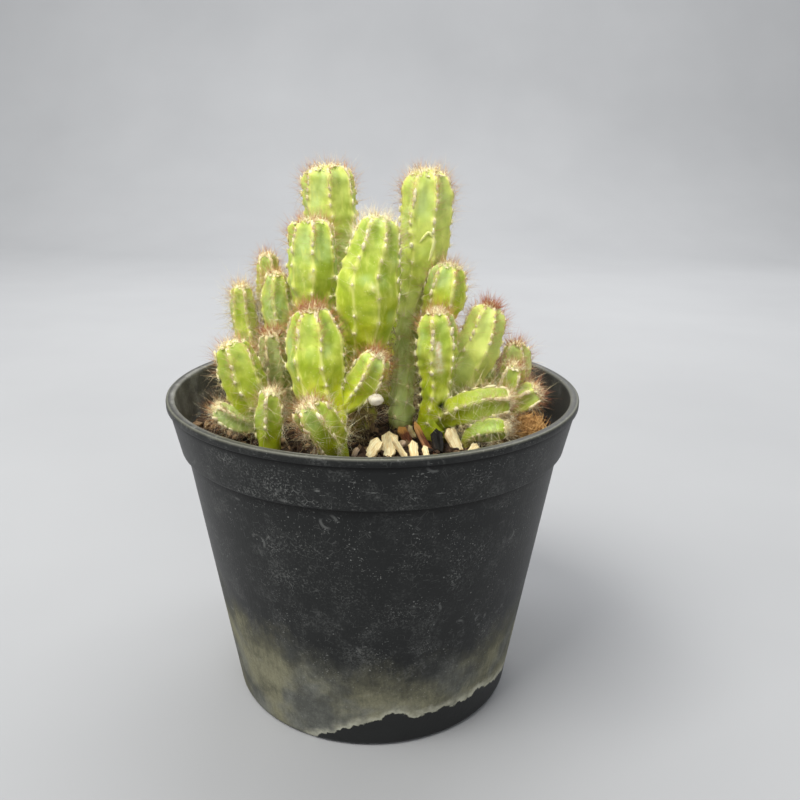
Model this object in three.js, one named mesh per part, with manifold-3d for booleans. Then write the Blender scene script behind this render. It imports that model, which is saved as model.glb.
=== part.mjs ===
// A potted Peruvian apple cactus: a clump of short ribbed stems in a round black nursery pot.
// Lengths are millimetres and +Z is up. The plant's front faces -Y, and the origin is the centre
// of the pot's base, on the surface that the pot stands on.

import * as THREE from "three";
import { mergeVertices } from "three/addons/utils/BufferGeometryUtils.js";
import Module from "manifold-3d";

const wasm = await Module();
wasm.setup();

// Pot
const RIM_RADIUS = 55;
const POT_HEIGHT = 86;
const BASE_RADIUS = 39.4;
const BASE_ROUNDING = 1.6;
const WALL = 1.2;
const LIP_HEIGHT = 2;
const LIP_WIDTH = 2.3;
const COLLAR_TOP_RADIUS = 54.3;
const COLLAR_BOTTOM = 73;
const COLLAR_RADIUS = 52;
const NECK_RADIUS = 50.5;
const POT_SIDES = 40;
const DRAIN_HOLES = 6;
const DRAIN_RADIUS = 4;
const DRAIN_CIRCLE = 24;

// Soil
const GAP = 0.3;
const SOIL_LEVEL = 74.5;
const SOIL_MOUND = 2.6;
const SOIL_LUMP = 0.55;
const SOIL_SIDES = 28;
const HOLE_SIDES = 10;
const CRUMBS = 14;

// Stems
const FOOT_DEPTH = 68;
const FOOT_ROUND_UP_TO = 80;
const RING_SPACING = 3.1;
const RING_SPACING_SLIM = 2.6;
const RIB_DEPTH = 0.15;
const AREOLE_HEIGHT = 0.45;
const CROWN_LENGTH = 0.85;
const BLUNT_CROWN_LENGTH = 0.55;
const CROWN_POWER = 2.2;
const SPINE_BASE = 0.28;
const SPINE_ROOT = 1.1;
const SPINE_SPACE = 0.8;
const SPINES_AT_MOST = 425;

const YOUNG = 0xa3bb3f;
const MATURE = 0x8ea53a;
const GREY = 0x7d9068;

// Each column runs from its foot to its crown, as [x, y, z, radius].
// A stem's first column is rooted in the soil, and the others grow out of that one.
const STEMS = [
  {
    name: "stem_tall_left",
    colour: YOUNG,
    ribs: 7,
    blunt: true,
    columns: [
      [[-7, 12, 68, 4.6], [-7, 12, 79, 4.8], [-8, 13.5, 98, 5.6], [-10.5, 14, 118, 5.2],
        [-12.3, 14.5, 131, 7.2], [-13.6, 15, 143, 6.5]],
    ],
  },
  {
    name: "stem_mid_left",
    colour: YOUNG,
    ribs: 7,
    blunt: true,
    columns: [
      [[-15, -3, 68, 4], [-15, -3, 79, 4], [-15, -1, 100, 4], [-16, 0, 109, 5.5], [-16, 0, 118, 6.5],
        [-16.3, 1, 130, 5]],
    ],
  },
  {
    name: "stem_centre",
    colour: YOUNG,
    ribs: 8,
    columns: [
      [[-3, -11, 68, 3.6], [-3, -11, 79, 3.6], [-2.6, -13.5, 97, 4.3], [-1.5, -14, 105, 6.6],
        [-1.2, -14, 112.5, 8.1], [0.4, -13, 122.5, 6.6], [2, -12, 132, 4.2]],
    ],
  },
  {
    name: "stem_front",
    colour: YOUNG,
    ribs: 7,
    columns: [
      [[-8, -33, 68, 3.2], [-8, -33, 79, 3.2], [-9.4, -30, 87, 3.8], [-12, -27, 93, 6], [-12.6, -26, 99.5, 7],
        [-13.4, -25, 106.5, 5.8], [-13.9, -25, 112, 4]],
      [[-8, -33.5, 77, 1.8], [-9.9, -36, 85.5, 4.1], [-12.5, -37, 89.5, 3.9], [-14.2, -37.5, 92.6, 2.8]],
      [[-7.6, -29.5, 87.5, 1.8], [-4.4, -27, 91, 3.4], [-1, -26, 95.6, 4.1], [2.2, -26.2, 101.4, 3]],
    ],
  },
  {
    name: "stem_tall_right",
    colour: YOUNG,
    ribs: 7,
    columns: [
      [[7.5, -8, 68, 3.2], [7.5, -8, 79, 3.3], [7.9, -7, 88, 2.9], [8.8, -3.4, 102, 2.8],
        [10.2, -1.6, 111, 3.2], [11.9, -0.4, 117, 5], [13, 0, 123, 6.2], [13.5, 0, 133, 6.5],
        [13.5, 0, 142.8, 5.2]],
      [[9.8, -3.4, 100.5, 1.6], [14.5, -6, 104.5, 2.8], [17.4, -7, 109.5, 4.6], [18.5, -7, 113.5, 5],
        [19.1, -7, 120.2, 3.2]],
    ],
  },
  {
    name: "stem_mid_right",
    colour: YOUNG,
    ribs: 6,
    columns: [
      [[16.2, -15, 68, 4], [16.2, -15, 80, 4.3], [16.6, -15.5, 91, 3.8], [16.3, -16, 100, 5.2],
        [16, -16, 110, 3.4]],
      [[16.5, -16, 80, 1.8], [20.5, -19, 84.2, 3.5], [25.5, -20.5, 86.6, 3.8], [30, -20.5, 87.9, 3.5],
        [34.8, -20.5, 88.5, 2.5]],
    ],
  },
  {
    name: "stem_lean_right",
    colour: YOUNG,
    ribs: 7,
    columns: [
      [[21.5, -5.5, 68, 3.5], [21.5, -5.5, 79, 3.6], [23.4, -6.5, 89, 4.9], [27, -7, 98, 5.9],
        [30.3, -7, 109.6, 3.6]],
    ],
  },
  {
    name: "stem_low_right",
    colour: MATURE,
    ribs: 5,
    columns: [
      [[24.2, -21.2, 68, 1.7], [24.2, -21.2, 78, 1.7], [25.4, -22.4, 80.2, 2], [28.6, -24.6, 82, 2.7],
        [33.4, -26.5, 83, 2.1]],
    ],
  },
  {
    name: "stem_edge_right",
    colour: MATURE,
    ribs: 5,
    columns: [
      [[35, -2, 68, 2.8], [35, -2, 79, 2.9], [37, 1.5, 85, 3.2], [38.8, 2.8, 91, 3.7], [38.6, 3.6, 97.4, 2.6]],
      [[35, -3, 79.5, 1.6], [34.8, -6, 85.5, 2.7], [36, -7.6, 90, 3.2], [37, -8.2, 94.6, 2.6]],
      [[35.6, -3, 78.5, 1.6], [37, -7, 82.4, 2.5], [40, -9, 85.6, 3.2], [43.4, -9.8, 88, 2.5]],
    ],
  },
  {
    name: "stem_lean_left",
    colour: YOUNG,
    ribs: 6,
    columns: [
      [[-27, -16, 68, 3.3], [-27, -16, 78.5, 3.5], [-30.2, -16, 86, 4.9], [-33.2, -15, 93.6, 5.3],
        [-35.8, -14, 101, 3.6]],
      [[-28.5, -16.5, 79, 1.6], [-32, -18.5, 80.6, 2.4], [-35.5, -19.5, 82.6, 2.8], [-39.2, -20, 85.4, 1.9]],
    ],
  },
  {
    name: "stem_small_left",
    colour: YOUNG,
    ribs: 5,
    columns: [
      [[-24.6, -26, 68, 2.8], [-24.6, -26, 78, 2.8], [-24.2, -26, 84.5, 3.3], [-23.6, -26, 92, 2.3]],
    ],
  },
  {
    name: "stem_grey_left",
    colour: GREY,
    ribs: 6,
    columns: [
      [[-25, -5.5, 68, 3.2], [-25, -5.5, 79, 3.2], [-25.9, -6, 93, 3.5], [-26.6, -6, 101.8, 2.7]],
    ],
  },
  {
    name: "stem_left_back",
    colour: MATURE,
    ribs: 6,
    columns: [
      [[-24, 7, 68, 3.6], [-24, 7, 79, 3.6], [-26.2, 6.5, 95, 3.9], [-26.7, 6, 105, 4.1],
        [-26.6, 6, 115.5, 2.6]],
      [[-26.2, 7.5, 96, 1.8], [-29.4, 11, 104, 2.8], [-29.8, 12, 113.5, 2.9], [-29.9, 12, 119.6, 2.1]],
    ],
  },
  {
    name: "stem_left_edge",
    colour: YOUNG,
    ribs: 6,
    columns: [
      [[-33, 5, 68, 3.1], [-33, 5, 79, 3.2], [-34.4, 7, 92, 3.6], [-36.2, 8, 103.5, 3.3], [-36.7, 8, 111.6, 2.3]],
    ],
  },
  {
    name: "stem_back_centre",
    colour: MATURE,
    ribs: 7,
    columns: [
      [[5.5, 14, 68, 4.4], [5.5, 14, 79, 4.6], [5.5, 15.5, 95, 5.2], [5, 17, 108, 5.8], [4.5, 17.5, 119, 4]],
    ],
  },
  {
    name: "stem_back_left",
    colour: MATURE,
    ribs: 7,
    columns: [
      [[-18.5, 20, 68, 4.2], [-18.5, 20, 79, 4.4], [-20, 22, 92, 5.2], [-21.5, 24, 103, 5.4],
        [-22.5, 25, 112.5, 3.8]],
    ],
  },
  {
    name: "stem_back_right",
    colour: YOUNG,
    ribs: 6,
    columns: [
      [[19.5, 11, 68, 3.8], [19.5, 11, 79, 4], [20.5, 12, 88, 4.8], [22, 13, 98.5, 3.6]],
    ],
  },
  {
    name: "stem_back_edge",
    colour: MATURE,
    ribs: 5,
    columns: [
      [[32.5, 10, 68, 2.9], [32.5, 10, 78.5, 3], [32, 11.5, 85, 3.5], [31, 13, 92.5, 2.6]],
    ],
  },
  {
    name: "stem_rear_centre",
    colour: YOUNG,
    ribs: 7,
    columns: [
      [[-5, 28, 68, 4], [-5, 28, 79, 4.2], [-5.5, 30, 91, 5.2], [-6, 31, 105, 3.8]],
      [[-4, 29, 79, 1.8], [0.5, 32, 84.5, 3], [3, 33.5, 89, 3.2], [4.5, 34.5, 94, 2.4]],
    ],
  },
  {
    name: "stem_rear_right",
    colour: YOUNG,
    ribs: 6,
    columns: [
      [[14.5, 25, 68, 3.6], [14.5, 25, 79, 3.8], [15.5, 27, 89, 4.7], [16.5, 28, 100, 3.5]],
    ],
  },
  {
    name: "stem_rear_left",
    colour: YOUNG,
    ribs: 5,
    columns: [
      [[-21, 34, 68, 3], [-21, 34, 78.5, 3.2], [-23, 36, 85, 3.7], [-24.5, 37, 92, 2.6]],
    ],
  },
  {
    name: "stem_rear_small",
    colour: MATURE,
    ribs: 5,
    columns: [
      [[26, 22, 68, 2.7], [26, 22, 78.5, 2.9], [27.5, 24, 84, 3.3], [28.5, 25.5, 89.5, 2.4]],
    ],
  },
  {
    name: "stem_far_left",
    colour: YOUNG,
    ribs: 5,
    columns: [
      [[-33, 19, 68, 3], [-33, 19, 78.5, 3.2], [-35, 21, 86, 3.8], [-36.5, 22, 93.5, 2.7]],
    ],
  },
];

// Each chip is a thin flake that leans from its low end to its high end, and is turned about that
// line by its roll in degrees.
const CHIPS = [
  { name: "chip_cream_1", low: [4.2, -28.6, 76], high: [5, -23.8, 81], size: [4.2, 1.2], roll: 8 },
  { name: "chip_cream_2", low: [9.2, -30.8, 76.2], high: [5.2, -28.9, 82.2], size: [1.9, 1.1], roll: 0 },
  { name: "chip_cream_3", low: [-0.6, -30.6, 76.6], high: [2.2, -27.4, 80.6], size: [3.4, 1.2], roll: 10 },
  { name: "chip_cream_4", low: [11.1, -31.8, 76.4], high: [10.4, -27.8, 80.2], size: [2.3, 1.1], roll: 6 },
  { name: "chip_cream_5", low: [22.1, -24.6, 76.4], high: [19.4, -21.7, 81.4], size: [3.6, 1.2], roll: -10 },
  { name: "chip_cream_6", low: [24.2, -26.6, 76.4], high: [26.4, -25.5, 78.7], size: [2.6, 1.1], roll: 20 },
  { name: "chip_cream_7", low: [-39.6, -5, 75], high: [-41, 1, 76], size: [3.2, 1.1], roll: 10 },
  { name: "chip_cream_8", low: [6.6, -23.2, 77.1], high: [8.4, -23, 78.5], size: [2, 1.5], roll: 0 },
  { name: "chip_cream_9", low: [11.2, -18.6, 77.4], high: [9.6, -17.6, 80.6], size: [2, 1], roll: 10 },
  { name: "chip_cream_10", low: [-4.1, -29.4, 76.4], high: [-3.1, -28, 78.4], size: [2, 1.5], roll: 0 },
  { name: "chip_cream_11", low: [14, -31.2, 76.4], high: [13.2, -28.4, 79.2], size: [1.6, 1.1], roll: -15 },
  { name: "chip_dark_1", low: [15.2, -26.6, 76], high: [11, -20, 82.2], size: [2.8, 1], roll: 35 },
  { name: "chip_dark_2", low: [9.9, -22, 76.8], high: [7.2, -18, 80.4], size: [2.6, 1], roll: -20 },
  { name: "chip_dark_3", low: [2, 41, 75], high: [9, 42.4, 75.9], size: [3, 1.1], roll: 10 },
  { name: "chip_black", low: [17, -25.8, 76.4], high: [16.4, -21.2, 80.8], size: [3, 1.7], roll: 12 },
];

const CHIP_COLOURS = { cream: 0xd9bf8c, dark: 0x5a2f20, black: 0x1d1917 };

const PERLITE_AT = new THREE.Vector3(1.4, -29, 90.9);
const PERLITE_RADIUS = 1.5;

const FIBRE_AT = new THREE.Vector3(40, -16.7, 79);
const FIBRE_RADIUS = 4.6;
const FIBRE_FLATNESS = 0.82;
const FIBRE_STRANDS = 24;
const FIBRE_THICKNESS = 0.35;

// A small seeded generator, so that each build draws the same numbers.
function seededRandom(seed) {
  let state = seed;
  return () => {
    state = (state * 1664525 + 1013904223) % 4294967296;
    return state / 4294967296;
  };
}

const random = seededRandom(20417);

function between(low, high) {
  return low + (high - low) * random();
}

function toManifold(geometry) {
  const bare = geometry.clone();
  bare.deleteAttribute("normal");
  bare.deleteAttribute("uv");
  const welded = mergeVertices(bare, 1e-4);
  const mesh = new wasm.Mesh({
    numProp: 3,
    vertProperties: welded.attributes.position.array,
    triVerts: new Uint32Array(welded.index.array),
  });
  return new wasm.Manifold(mesh);
}

function toGeometry(manifold) {
  const mesh = manifold.getMesh();
  const geometry = new THREE.BufferGeometry();
  geometry.setAttribute("position", new THREE.BufferAttribute(mesh.vertProperties, 3));
  geometry.setIndex(new THREE.BufferAttribute(mesh.triVerts, 1));
  geometry.computeVertexNormals();
  return geometry;
}

function fuse(geometries) {
  return geometries.map(toManifold).reduce((whole, piece) => whole.add(piece));
}

function cutAll(solid, tools) {
  return tools.map(toManifold).reduce((rest, tool) => rest.subtract(tool), solid);
}

// Drops the loose scraps that cutting can leave.
function largestBody(solid) {
  return solid.decompose().reduce((best, body) => (body.volume() > best.volume() ? body : best));
}

function namedMesh(name, geometry, colour, roughness) {
  const material = new THREE.MeshStandardMaterial({ color: colour, roughness, metalness: 0 });
  const mesh = new THREE.Mesh(geometry, material);
  mesh.name = name;
  return mesh;
}

// A lathe turns its outline about Y, so the solid is tipped to stand along Z.
function turned(points, sides) {
  const outline = points.map(([radius, height]) => new THREE.Vector2(radius, height));
  return new THREE.LatheGeometry(outline, sides).rotateX(Math.PI / 2);
}

function uprightCylinder(x, y, bottom, top, radius, sides) {
  const cylinder = new THREE.CylinderGeometry(radius, radius, top - bottom, sides);
  cylinder.rotateX(Math.PI / 2);
  return cylinder.translate(x, y, (top + bottom) / 2);
}

// Pot: a thin tapered wall with a collar and a rim ring, and drain holes in its floor.
function innerRadius(height) {
  if (height > COLLAR_BOTTOM) {
    const share = (height - COLLAR_BOTTOM) / (POT_HEIGHT - COLLAR_BOTTOM);
    return THREE.MathUtils.lerp(COLLAR_RADIUS, COLLAR_TOP_RADIUS, share) - WALL;
  }
  return THREE.MathUtils.lerp(BASE_RADIUS, NECK_RADIUS, height / COLLAR_BOTTOM) - WALL;
}

function makePot() {
  const ledge = COLLAR_BOTTOM - WALL;
  const body = turned([
    [0, 0],
    [BASE_RADIUS - BASE_ROUNDING, 0],
    [BASE_RADIUS - BASE_ROUNDING * 0.3, BASE_ROUNDING * 0.3],
    [BASE_RADIUS, BASE_ROUNDING],
    [NECK_RADIUS, COLLAR_BOTTOM - 0.6],
    [COLLAR_RADIUS, COLLAR_BOTTOM],
    [COLLAR_TOP_RADIUS, POT_HEIGHT - LIP_HEIGHT],
    [RIM_RADIUS, POT_HEIGHT - LIP_HEIGHT],
    [RIM_RADIUS, POT_HEIGHT - 0.4],
    [RIM_RADIUS - 0.4, POT_HEIGHT],
    [RIM_RADIUS - LIP_WIDTH, POT_HEIGHT],
    [innerRadius(COLLAR_BOTTOM + 1), COLLAR_BOTTOM + 1],
    [innerRadius(ledge), ledge],
    [innerRadius(WALL), WALL],
    [0, WALL],
  ], POT_SIDES);
  const drains = [];
  for (let i = 0; i < DRAIN_HOLES; i += 1) {
    const angle = (2 * Math.PI * i) / DRAIN_HOLES;
    const x = DRAIN_CIRCLE * Math.cos(angle);
    const y = DRAIN_CIRCLE * Math.sin(angle);
    drains.push(uprightCylinder(x, y, -1, WALL + 0.1, DRAIN_RADIUS, HOLE_SIDES));
  }
  return namedMesh("pot", toGeometry(cutAll(toManifold(body), drains)), 0x2b2d2d, 0.55);
}

// Soil: a low uneven mound that fills the pot, with a plain hole for each stem and each chip.
function soilHeight(x, y) {
  const reach = Math.hypot(x, y) / innerRadius(SOIL_LEVEL);
  const mound = SOIL_MOUND * Math.max(0, 1 - reach * reach);
  const wave = Math.sin(0.43 * x + 1.3) * Math.cos(0.39 * y - 0.4) + 0.6 * Math.sin(0.9 * x - 0.7 * y);
  return SOIL_LEVEL + mound + SOIL_LUMP * wave;
}

function soilCrumb() {
  const angle = between(0, 2 * Math.PI);
  const reach = between(14, 47);
  const x = reach * Math.cos(angle);
  const y = reach * Math.sin(angle);
  const crumb = new THREE.OctahedronGeometry(between(0.8, 1.7));
  crumb.rotateX(between(0, 3)).rotateY(between(0, 3));
  return crumb.translate(x, y, soilHeight(x, y));
}

function chipPocket(chip) {
  const { low, high, size: [width, thickness] } = chip;
  const length = new THREE.Vector3(...low).distanceTo(new THREE.Vector3(...high));
  const pocket = new THREE.BoxGeometry(length + 2 * GAP, width + 2 * GAP, thickness + 2 * GAP);
  return pocket.applyMatrix4(chipPlace(chip));
}

function makeSoil() {
  const flat = Math.cos(Math.PI / POT_SIDES);
  const bottomRadius = innerRadius(WALL) * flat - GAP;
  const shoulder = innerRadius(COLLAR_BOTTOM - WALL) * flat - GAP;
  const rings = [0.97, 0.83, 0.68, 0.52, 0.35, 0.18];
  const outline = [[0, WALL + GAP], [bottomRadius, WALL + GAP], [shoulder, SOIL_LEVEL - 2.6]];
  rings.forEach((share) => outline.push([share * shoulder, SOIL_LEVEL]));
  outline.push([0, SOIL_LEVEL]);
  const mound = turned(outline, SOIL_SIDES);
  const spots = mound.attributes.position;
  for (let i = 0; i < spots.count; i += 1) {
    if (spots.getZ(i) > SOIL_LEVEL - 0.01) {
      spots.setZ(i, soilHeight(spots.getX(i), spots.getY(i)));
    }
  }
  let soil = toManifold(mound);
  for (let i = 0; i < CRUMBS; i += 1) {
    soil = soil.add(toManifold(soilCrumb()));
  }
  const holes = STEMS.map((stem) => {
    const [x, y, , radius] = stem.columns[0][0];
    const wide = (Math.max(radius, stem.columns[0][1][3]) + 2 * GAP) / Math.cos(Math.PI / HOLE_SIDES);
    return uprightCylinder(x, y, FOOT_DEPTH - GAP, POT_HEIGHT, wide, HOLE_SIDES);
  });
  const pockets = CHIPS.map(chipPocket);
  pockets.push(fibreSeat());
  const body = largestBody(cutAll(soil, [...holes, ...pockets]));
  return namedMesh("soil", toGeometry(body), 0x3f2c20, 0.95);
}

// One column of a stem: rings of rib crests and valleys along a smooth path, closed by a dome.
class Column {
  constructor(points, ribs, turn, crownLength) {
    this.ribs = ribs;
    this.turn = turn;
    this.path = new THREE.CatmullRomCurve3(points.map(([x, y, z]) => new THREE.Vector3(x, y, z)));
    this.widths = new THREE.CatmullRomCurve3(
      points.map(([, , , radius]) => new THREE.Vector3(radius, 0, 0)), false, "catmullrom");
    this.length = this.path.getLength();
    this.crown = crownLength * points[points.length - 1][3];
    this.rooted = points[0][2] === FOOT_DEPTH;
    this.stations = this.ringStations();
  }

  // Distances below the crown's top at which a ring is placed.
  ringStations() {
    const spacing = this.ribs > 5 ? RING_SPACING : RING_SPACING_SLIM;
    const stations = [0.14 * this.crown, 0.5 * this.crown];
    const foot = this.rooted ? FOOT_ROUND_UP_TO - FOOT_DEPTH : 0.8 * spacing;
    for (let below = this.crown; below < this.length - foot; below += spacing) {
      stations.push(below);
    }
    if (this.rooted) {
      stations.push(this.length - foot);
    }
    stations.push(this.length);
    return stations;
  }

  at(below) {
    const t = this.path.getUtoTmapping(Math.max(0, 1 - below / this.length));
    const centre = this.path.getPoint(t);
    const along = this.path.getTangent(t);
    const front = new THREE.Vector3(0, -1, 0);
    front.addScaledVector(along, -front.dot(along)).normalize();
    const side = new THREE.Vector3().crossVectors(along, front);
    let radius = this.widths.getPoint(t).x;
    if (below < this.crown) {
      radius *= (1 - (1 - below / this.crown) ** CROWN_POWER) ** (1 / CROWN_POWER);
    }
    return { centre, along, front, side, radius };
  }

  ribDepth(height) {
    if (!this.rooted) {
      return RIB_DEPTH;
    }
    const share = THREE.MathUtils.smoothstep(height, FOOT_ROUND_UP_TO - 3, FOOT_ROUND_UP_TO + 6);
    return RIB_DEPTH * share;
  }

  hasAreole(ring, rib) {
    const height = this.at(this.stations[ring]).centre.z;
    const raised = !this.rooted || height > FOOT_ROUND_UP_TO;
    return raised && ring > 0 && ring < this.stations.length - 1 && (ring + rib) % 2 === 0;
  }

  // The point of a ring at one of its crests (even corner) or valleys (odd corner).
  corner(ring, corner) {
    const place = this.at(this.stations[ring]);
    const angle = this.turn + (Math.PI * corner) / this.ribs;
    const outward = place.front.clone().multiplyScalar(Math.cos(angle));
    outward.addScaledVector(place.side, Math.sin(angle));
    let radius = place.radius;
    if (corner % 2 === 1) {
      radius *= 1 - this.ribDepth(place.centre.z);
    } else if (this.hasAreole(ring, corner / 2)) {
      radius += AREOLE_HEIGHT;
    }
    return { point: place.centre.clone().addScaledVector(outward, radius), outward, place };
  }

  // A point on the face just beside an areole, on alternate sides.
  besideAreole(ring, rib) {
    const flank = 2 * rib + (ring % 4 < 2 ? 1 : -1);
    const point = this.corner(ring, 2 * rib).point.multiplyScalar(0.54);
    point.addScaledVector(this.corner(ring, flank).point, 0.23);
    return point.addScaledVector(this.corner(ring - 1, flank).point, 0.23);
  }

  geometry() {
    const sides = 2 * this.ribs;
    const top = this.path.getPoint(1);
    const bottom = this.path.getPoint(0);
    const corners = [];
    this.stations.forEach((below, ring) => {
      for (let corner = 0; corner < sides; corner += 1) {
        corners.push(...this.corner(ring, corner).point.toArray());
      }
    });
    corners.push(...top.toArray(), ...bottom.toArray());
    const rings = this.stations.length;
    const topIndex = rings * sides;
    const faces = [];
    for (let corner = 0; corner < sides; corner += 1) {
      const next = (corner + 1) % sides;
      faces.push(topIndex, corner, next);
      for (let ring = 0; ring < rings - 1; ring += 1) {
        const here = ring * sides;
        const under = here + sides;
        if (corner % 2 === 0) {
          faces.push(here + corner, under + corner, here + next);
          faces.push(here + next, under + corner, under + next);
        } else {
          faces.push(here + corner, under + corner, under + next);
          faces.push(here + corner, under + next, here + next);
        }
      }
      faces.push(topIndex + 1, (rings - 1) * sides + next, (rings - 1) * sides + corner);
    }
    const geometry = new THREE.BufferGeometry();
    geometry.setAttribute("position", new THREE.Float32BufferAttribute(corners, 3));
    geometry.setIndex(faces);
    return geometry;
  }
}

function columnsOf(stem, order) {
  return stem.columns.map((points, index) => {
    const ribs = index === 0 ? stem.ribs : Math.max(5, stem.ribs - 1);
    const crownLength = stem.blunt ? BLUNT_CROWN_LENGTH : CROWN_LENGTH;
    return new Column(points, ribs, 0.35 * order + 0.2 * index, crownLength);
  });
}

const PLANT = STEMS.map((stem, order) => ({ stem, columns: columnsOf(stem, order) }));

// Balls along each column, to keep spines clear of the neighbouring stems.
function ballsOf(columns) {
  return columns.flatMap((column) => column.stations.map((below) => {
    const { centre, radius } = column.at(below);
    return { centre, radius: Math.max(radius, 1.5) };
  }));
}

const BALLS = PLANT.map(({ columns }) => ballsOf(columns));

function touchesStem(line, own) {
  const nearest = new THREE.Vector3();
  return BALLS.some((balls, index) => index !== own && balls.some((ball) => {
    line.closestPointToPoint(ball.centre, true, nearest);
    return nearest.distanceTo(ball.centre) < ball.radius + 1.4;
  }));
}

function touchesSpine(line, own, placed) {
  const mine = new THREE.Vector3();
  const step = 0.25;
  return placed.some((other) => {
    if (other.own === own) {
      return false;
    }
    for (let share = 0; share <= 1; share += step) {
      line.at(share, mine);
      const nearest = other.line.closestPointToPoint(mine, true, new THREE.Vector3());
      if (nearest.distanceTo(mine) < SPINE_SPACE + step * line.distance() * 0.5) {
        return true;
      }
    }
    return false;
  });
}

function leavesPot(tip) {
  const low = tip.z < POT_HEIGHT + 3;
  const nearWall = Math.hypot(tip.x, tip.y) > innerRadius(Math.min(tip.z, POT_HEIGHT)) - 2.5;
  return (low && nearWall) || tip.z < soilHeight(tip.x, tip.y) + 2;
}

// The spines of one column: one at each areole, leaning up the stem and longest at the crown.
function spineLines(column, own, placed) {
  const found = [];
  for (let ring = 1; ring < column.stations.length - 1; ring += 1) {
    for (let rib = 0; rib < column.ribs; rib += 1) {
      if (column.hasAreole(ring, rib)) {
        const { outward, place } = column.corner(ring, 2 * rib);
        const point = column.besideAreole(ring, rib);
        const crown = THREE.MathUtils.clamp(1 - column.stations[ring] / (2.5 * column.crown), 0, 1);
        const lean = THREE.MathUtils.lerp(0.35, 1.5, crown) + between(-0.3, 0.3);
        const length = THREE.MathUtils.lerp(3.2, 5, crown) + between(-0.8, 1.2);
        const aim = outward.clone().addScaledVector(place.along, lean);
        aim.addScaledVector(place.side, between(-0.35, 0.35)).normalize();
        const line = new THREE.Line3(point, point.clone().addScaledVector(aim, length));
        if (!leavesPot(line.end) && !touchesStem(line, own) && !touchesSpine(line, own, placed)) {
          found.push({ own, line });
        }
      }
    }
  }
  return found;
}

function spineGeometry({ line }) {
  const aim = line.delta(new THREE.Vector3()).normalize();
  const length = line.distance() + SPINE_ROOT;
  const spine = new THREE.ConeGeometry(SPINE_BASE, length, 3);
  spine.translate(0, length / 2 - SPINE_ROOT, 0);
  const turn = new THREE.Quaternion().setFromUnitVectors(new THREE.Vector3(0, 1, 0), aim);
  return spine.applyQuaternion(turn).translate(line.start.x, line.start.y, line.start.z);
}

function placeSpines() {
  const placed = [];
  PLANT.forEach(({ columns }, own) => {
    columns.forEach((column) => placed.push(...spineLines(column, own, placed)));
  });
  const share = Math.min(1, SPINES_AT_MOST / placed.length);
  return placed.filter((spine, index) => Math.floor((index + 1) * share) > Math.floor(index * share));
}

function makeStems() {
  const spines = placeSpines();
  return PLANT.map(({ stem, columns }, own) => {
    const bodies = columns.map((column) => column.geometry());
    const needles = spines.filter((spine) => spine.own === own).map(spineGeometry);
    return namedMesh(stem.name, toGeometry(fuse([...bodies, ...needles])), stem.colour, 0.5);
  });
}

// Chips: flakes of wood and bark with slanted ends, their low ends sunk in pockets of the soil.
function chipPlace({ low, high, roll }) {
  const start = new THREE.Vector3(...low);
  const end = new THREE.Vector3(...high);
  const along = end.clone().sub(start).normalize();
  const across = new THREE.Vector3(0, 0, 1).cross(along).normalize();
  across.applyAxisAngle(along, THREE.MathUtils.degToRad(roll));
  const facing = along.clone().cross(across);
  const place = new THREE.Matrix4().makeBasis(along, across, facing);
  return place.setPosition(start.add(end).multiplyScalar(0.5));
}

function makeChip(chip) {
  const { low, high, size: [width, thickness] } = chip;
  const length = new THREE.Vector3(...low).distanceTo(new THREE.Vector3(...high));
  const outline = new THREE.Shape([
    new THREE.Vector2(-0.5 * length, -0.2 * width),
    new THREE.Vector2(-0.3 * length, -0.46 * width),
    new THREE.Vector2(0.36 * length, -0.5 * width),
    new THREE.Vector2(0.5 * length, 0.12 * width),
    new THREE.Vector2(0.3 * length, 0.5 * width),
    new THREE.Vector2(-0.42 * length, 0.36 * width),
  ]);
  const flake = new THREE.ExtrudeGeometry(outline, { depth: thickness, bevelEnabled: false });
  flake.translate(0, 0, -thickness / 2).applyMatrix4(chipPlace(chip));
  const colour = CHIP_COLOURS[chip.name.split("_")[1]];
  return namedMesh(chip.name, flake, colour, 0.85);
}

function makePerlite() {
  const grain = new THREE.IcosahedronGeometry(PERLITE_RADIUS);
  grain.scale(1.25, 0.85, 0.9);
  return namedMesh("perlite", grain.translate(...PERLITE_AT.toArray()), 0xf1efe6, 0.9);
}

// Fibre clump: a low knot of plant fibre with loose strands standing out of it, in a flat seat.
function fibreSeat() {
  const bottom = FIBRE_AT.z - FIBRE_FLATNESS * FIBRE_RADIUS - GAP;
  return uprightCylinder(FIBRE_AT.x, FIBRE_AT.y, bottom, POT_HEIGHT, 1.35 * FIBRE_RADIUS, HOLE_SIDES);
}

function fibreStrand() {
  const angle = between(0, 2 * Math.PI);
  const height = between(0.2, 0.9);
  const outward = new THREE.Vector3(Math.cos(angle), Math.sin(angle), height).normalize();
  const sweep = new THREE.Vector3(-outward.y, outward.x, between(-0.2, 0.6));
  const length = between(1.6, 3.2);
  const start = outward.clone().multiplyScalar(0.7 * FIBRE_RADIUS);
  const aim = outward.clone().addScaledVector(sweep, 0.9).normalize();
  const strand = new THREE.ConeGeometry(FIBRE_THICKNESS, length + 1.5, 3);
  strand.translate(0, length / 2, 0);
  const turn = new THREE.Quaternion().setFromUnitVectors(new THREE.Vector3(0, 1, 0), aim);
  return strand.applyQuaternion(turn).translate(start.x, start.y, start.z);
}

function makeFibreClump() {
  const knot = new THREE.IcosahedronGeometry(FIBRE_RADIUS, 1);
  knot.scale(1.05, 1.15, FIBRE_FLATNESS);
  const pieces = [knot];
  for (let i = 0; i < FIBRE_STRANDS; i += 1) {
    pieces.push(fibreStrand());
  }
  const clump = fuse(pieces).translate(FIBRE_AT.x, FIBRE_AT.y, FIBRE_AT.z);
  return namedMesh("fibre_clump", toGeometry(clump), 0x8a5530, 0.95);
}

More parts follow.
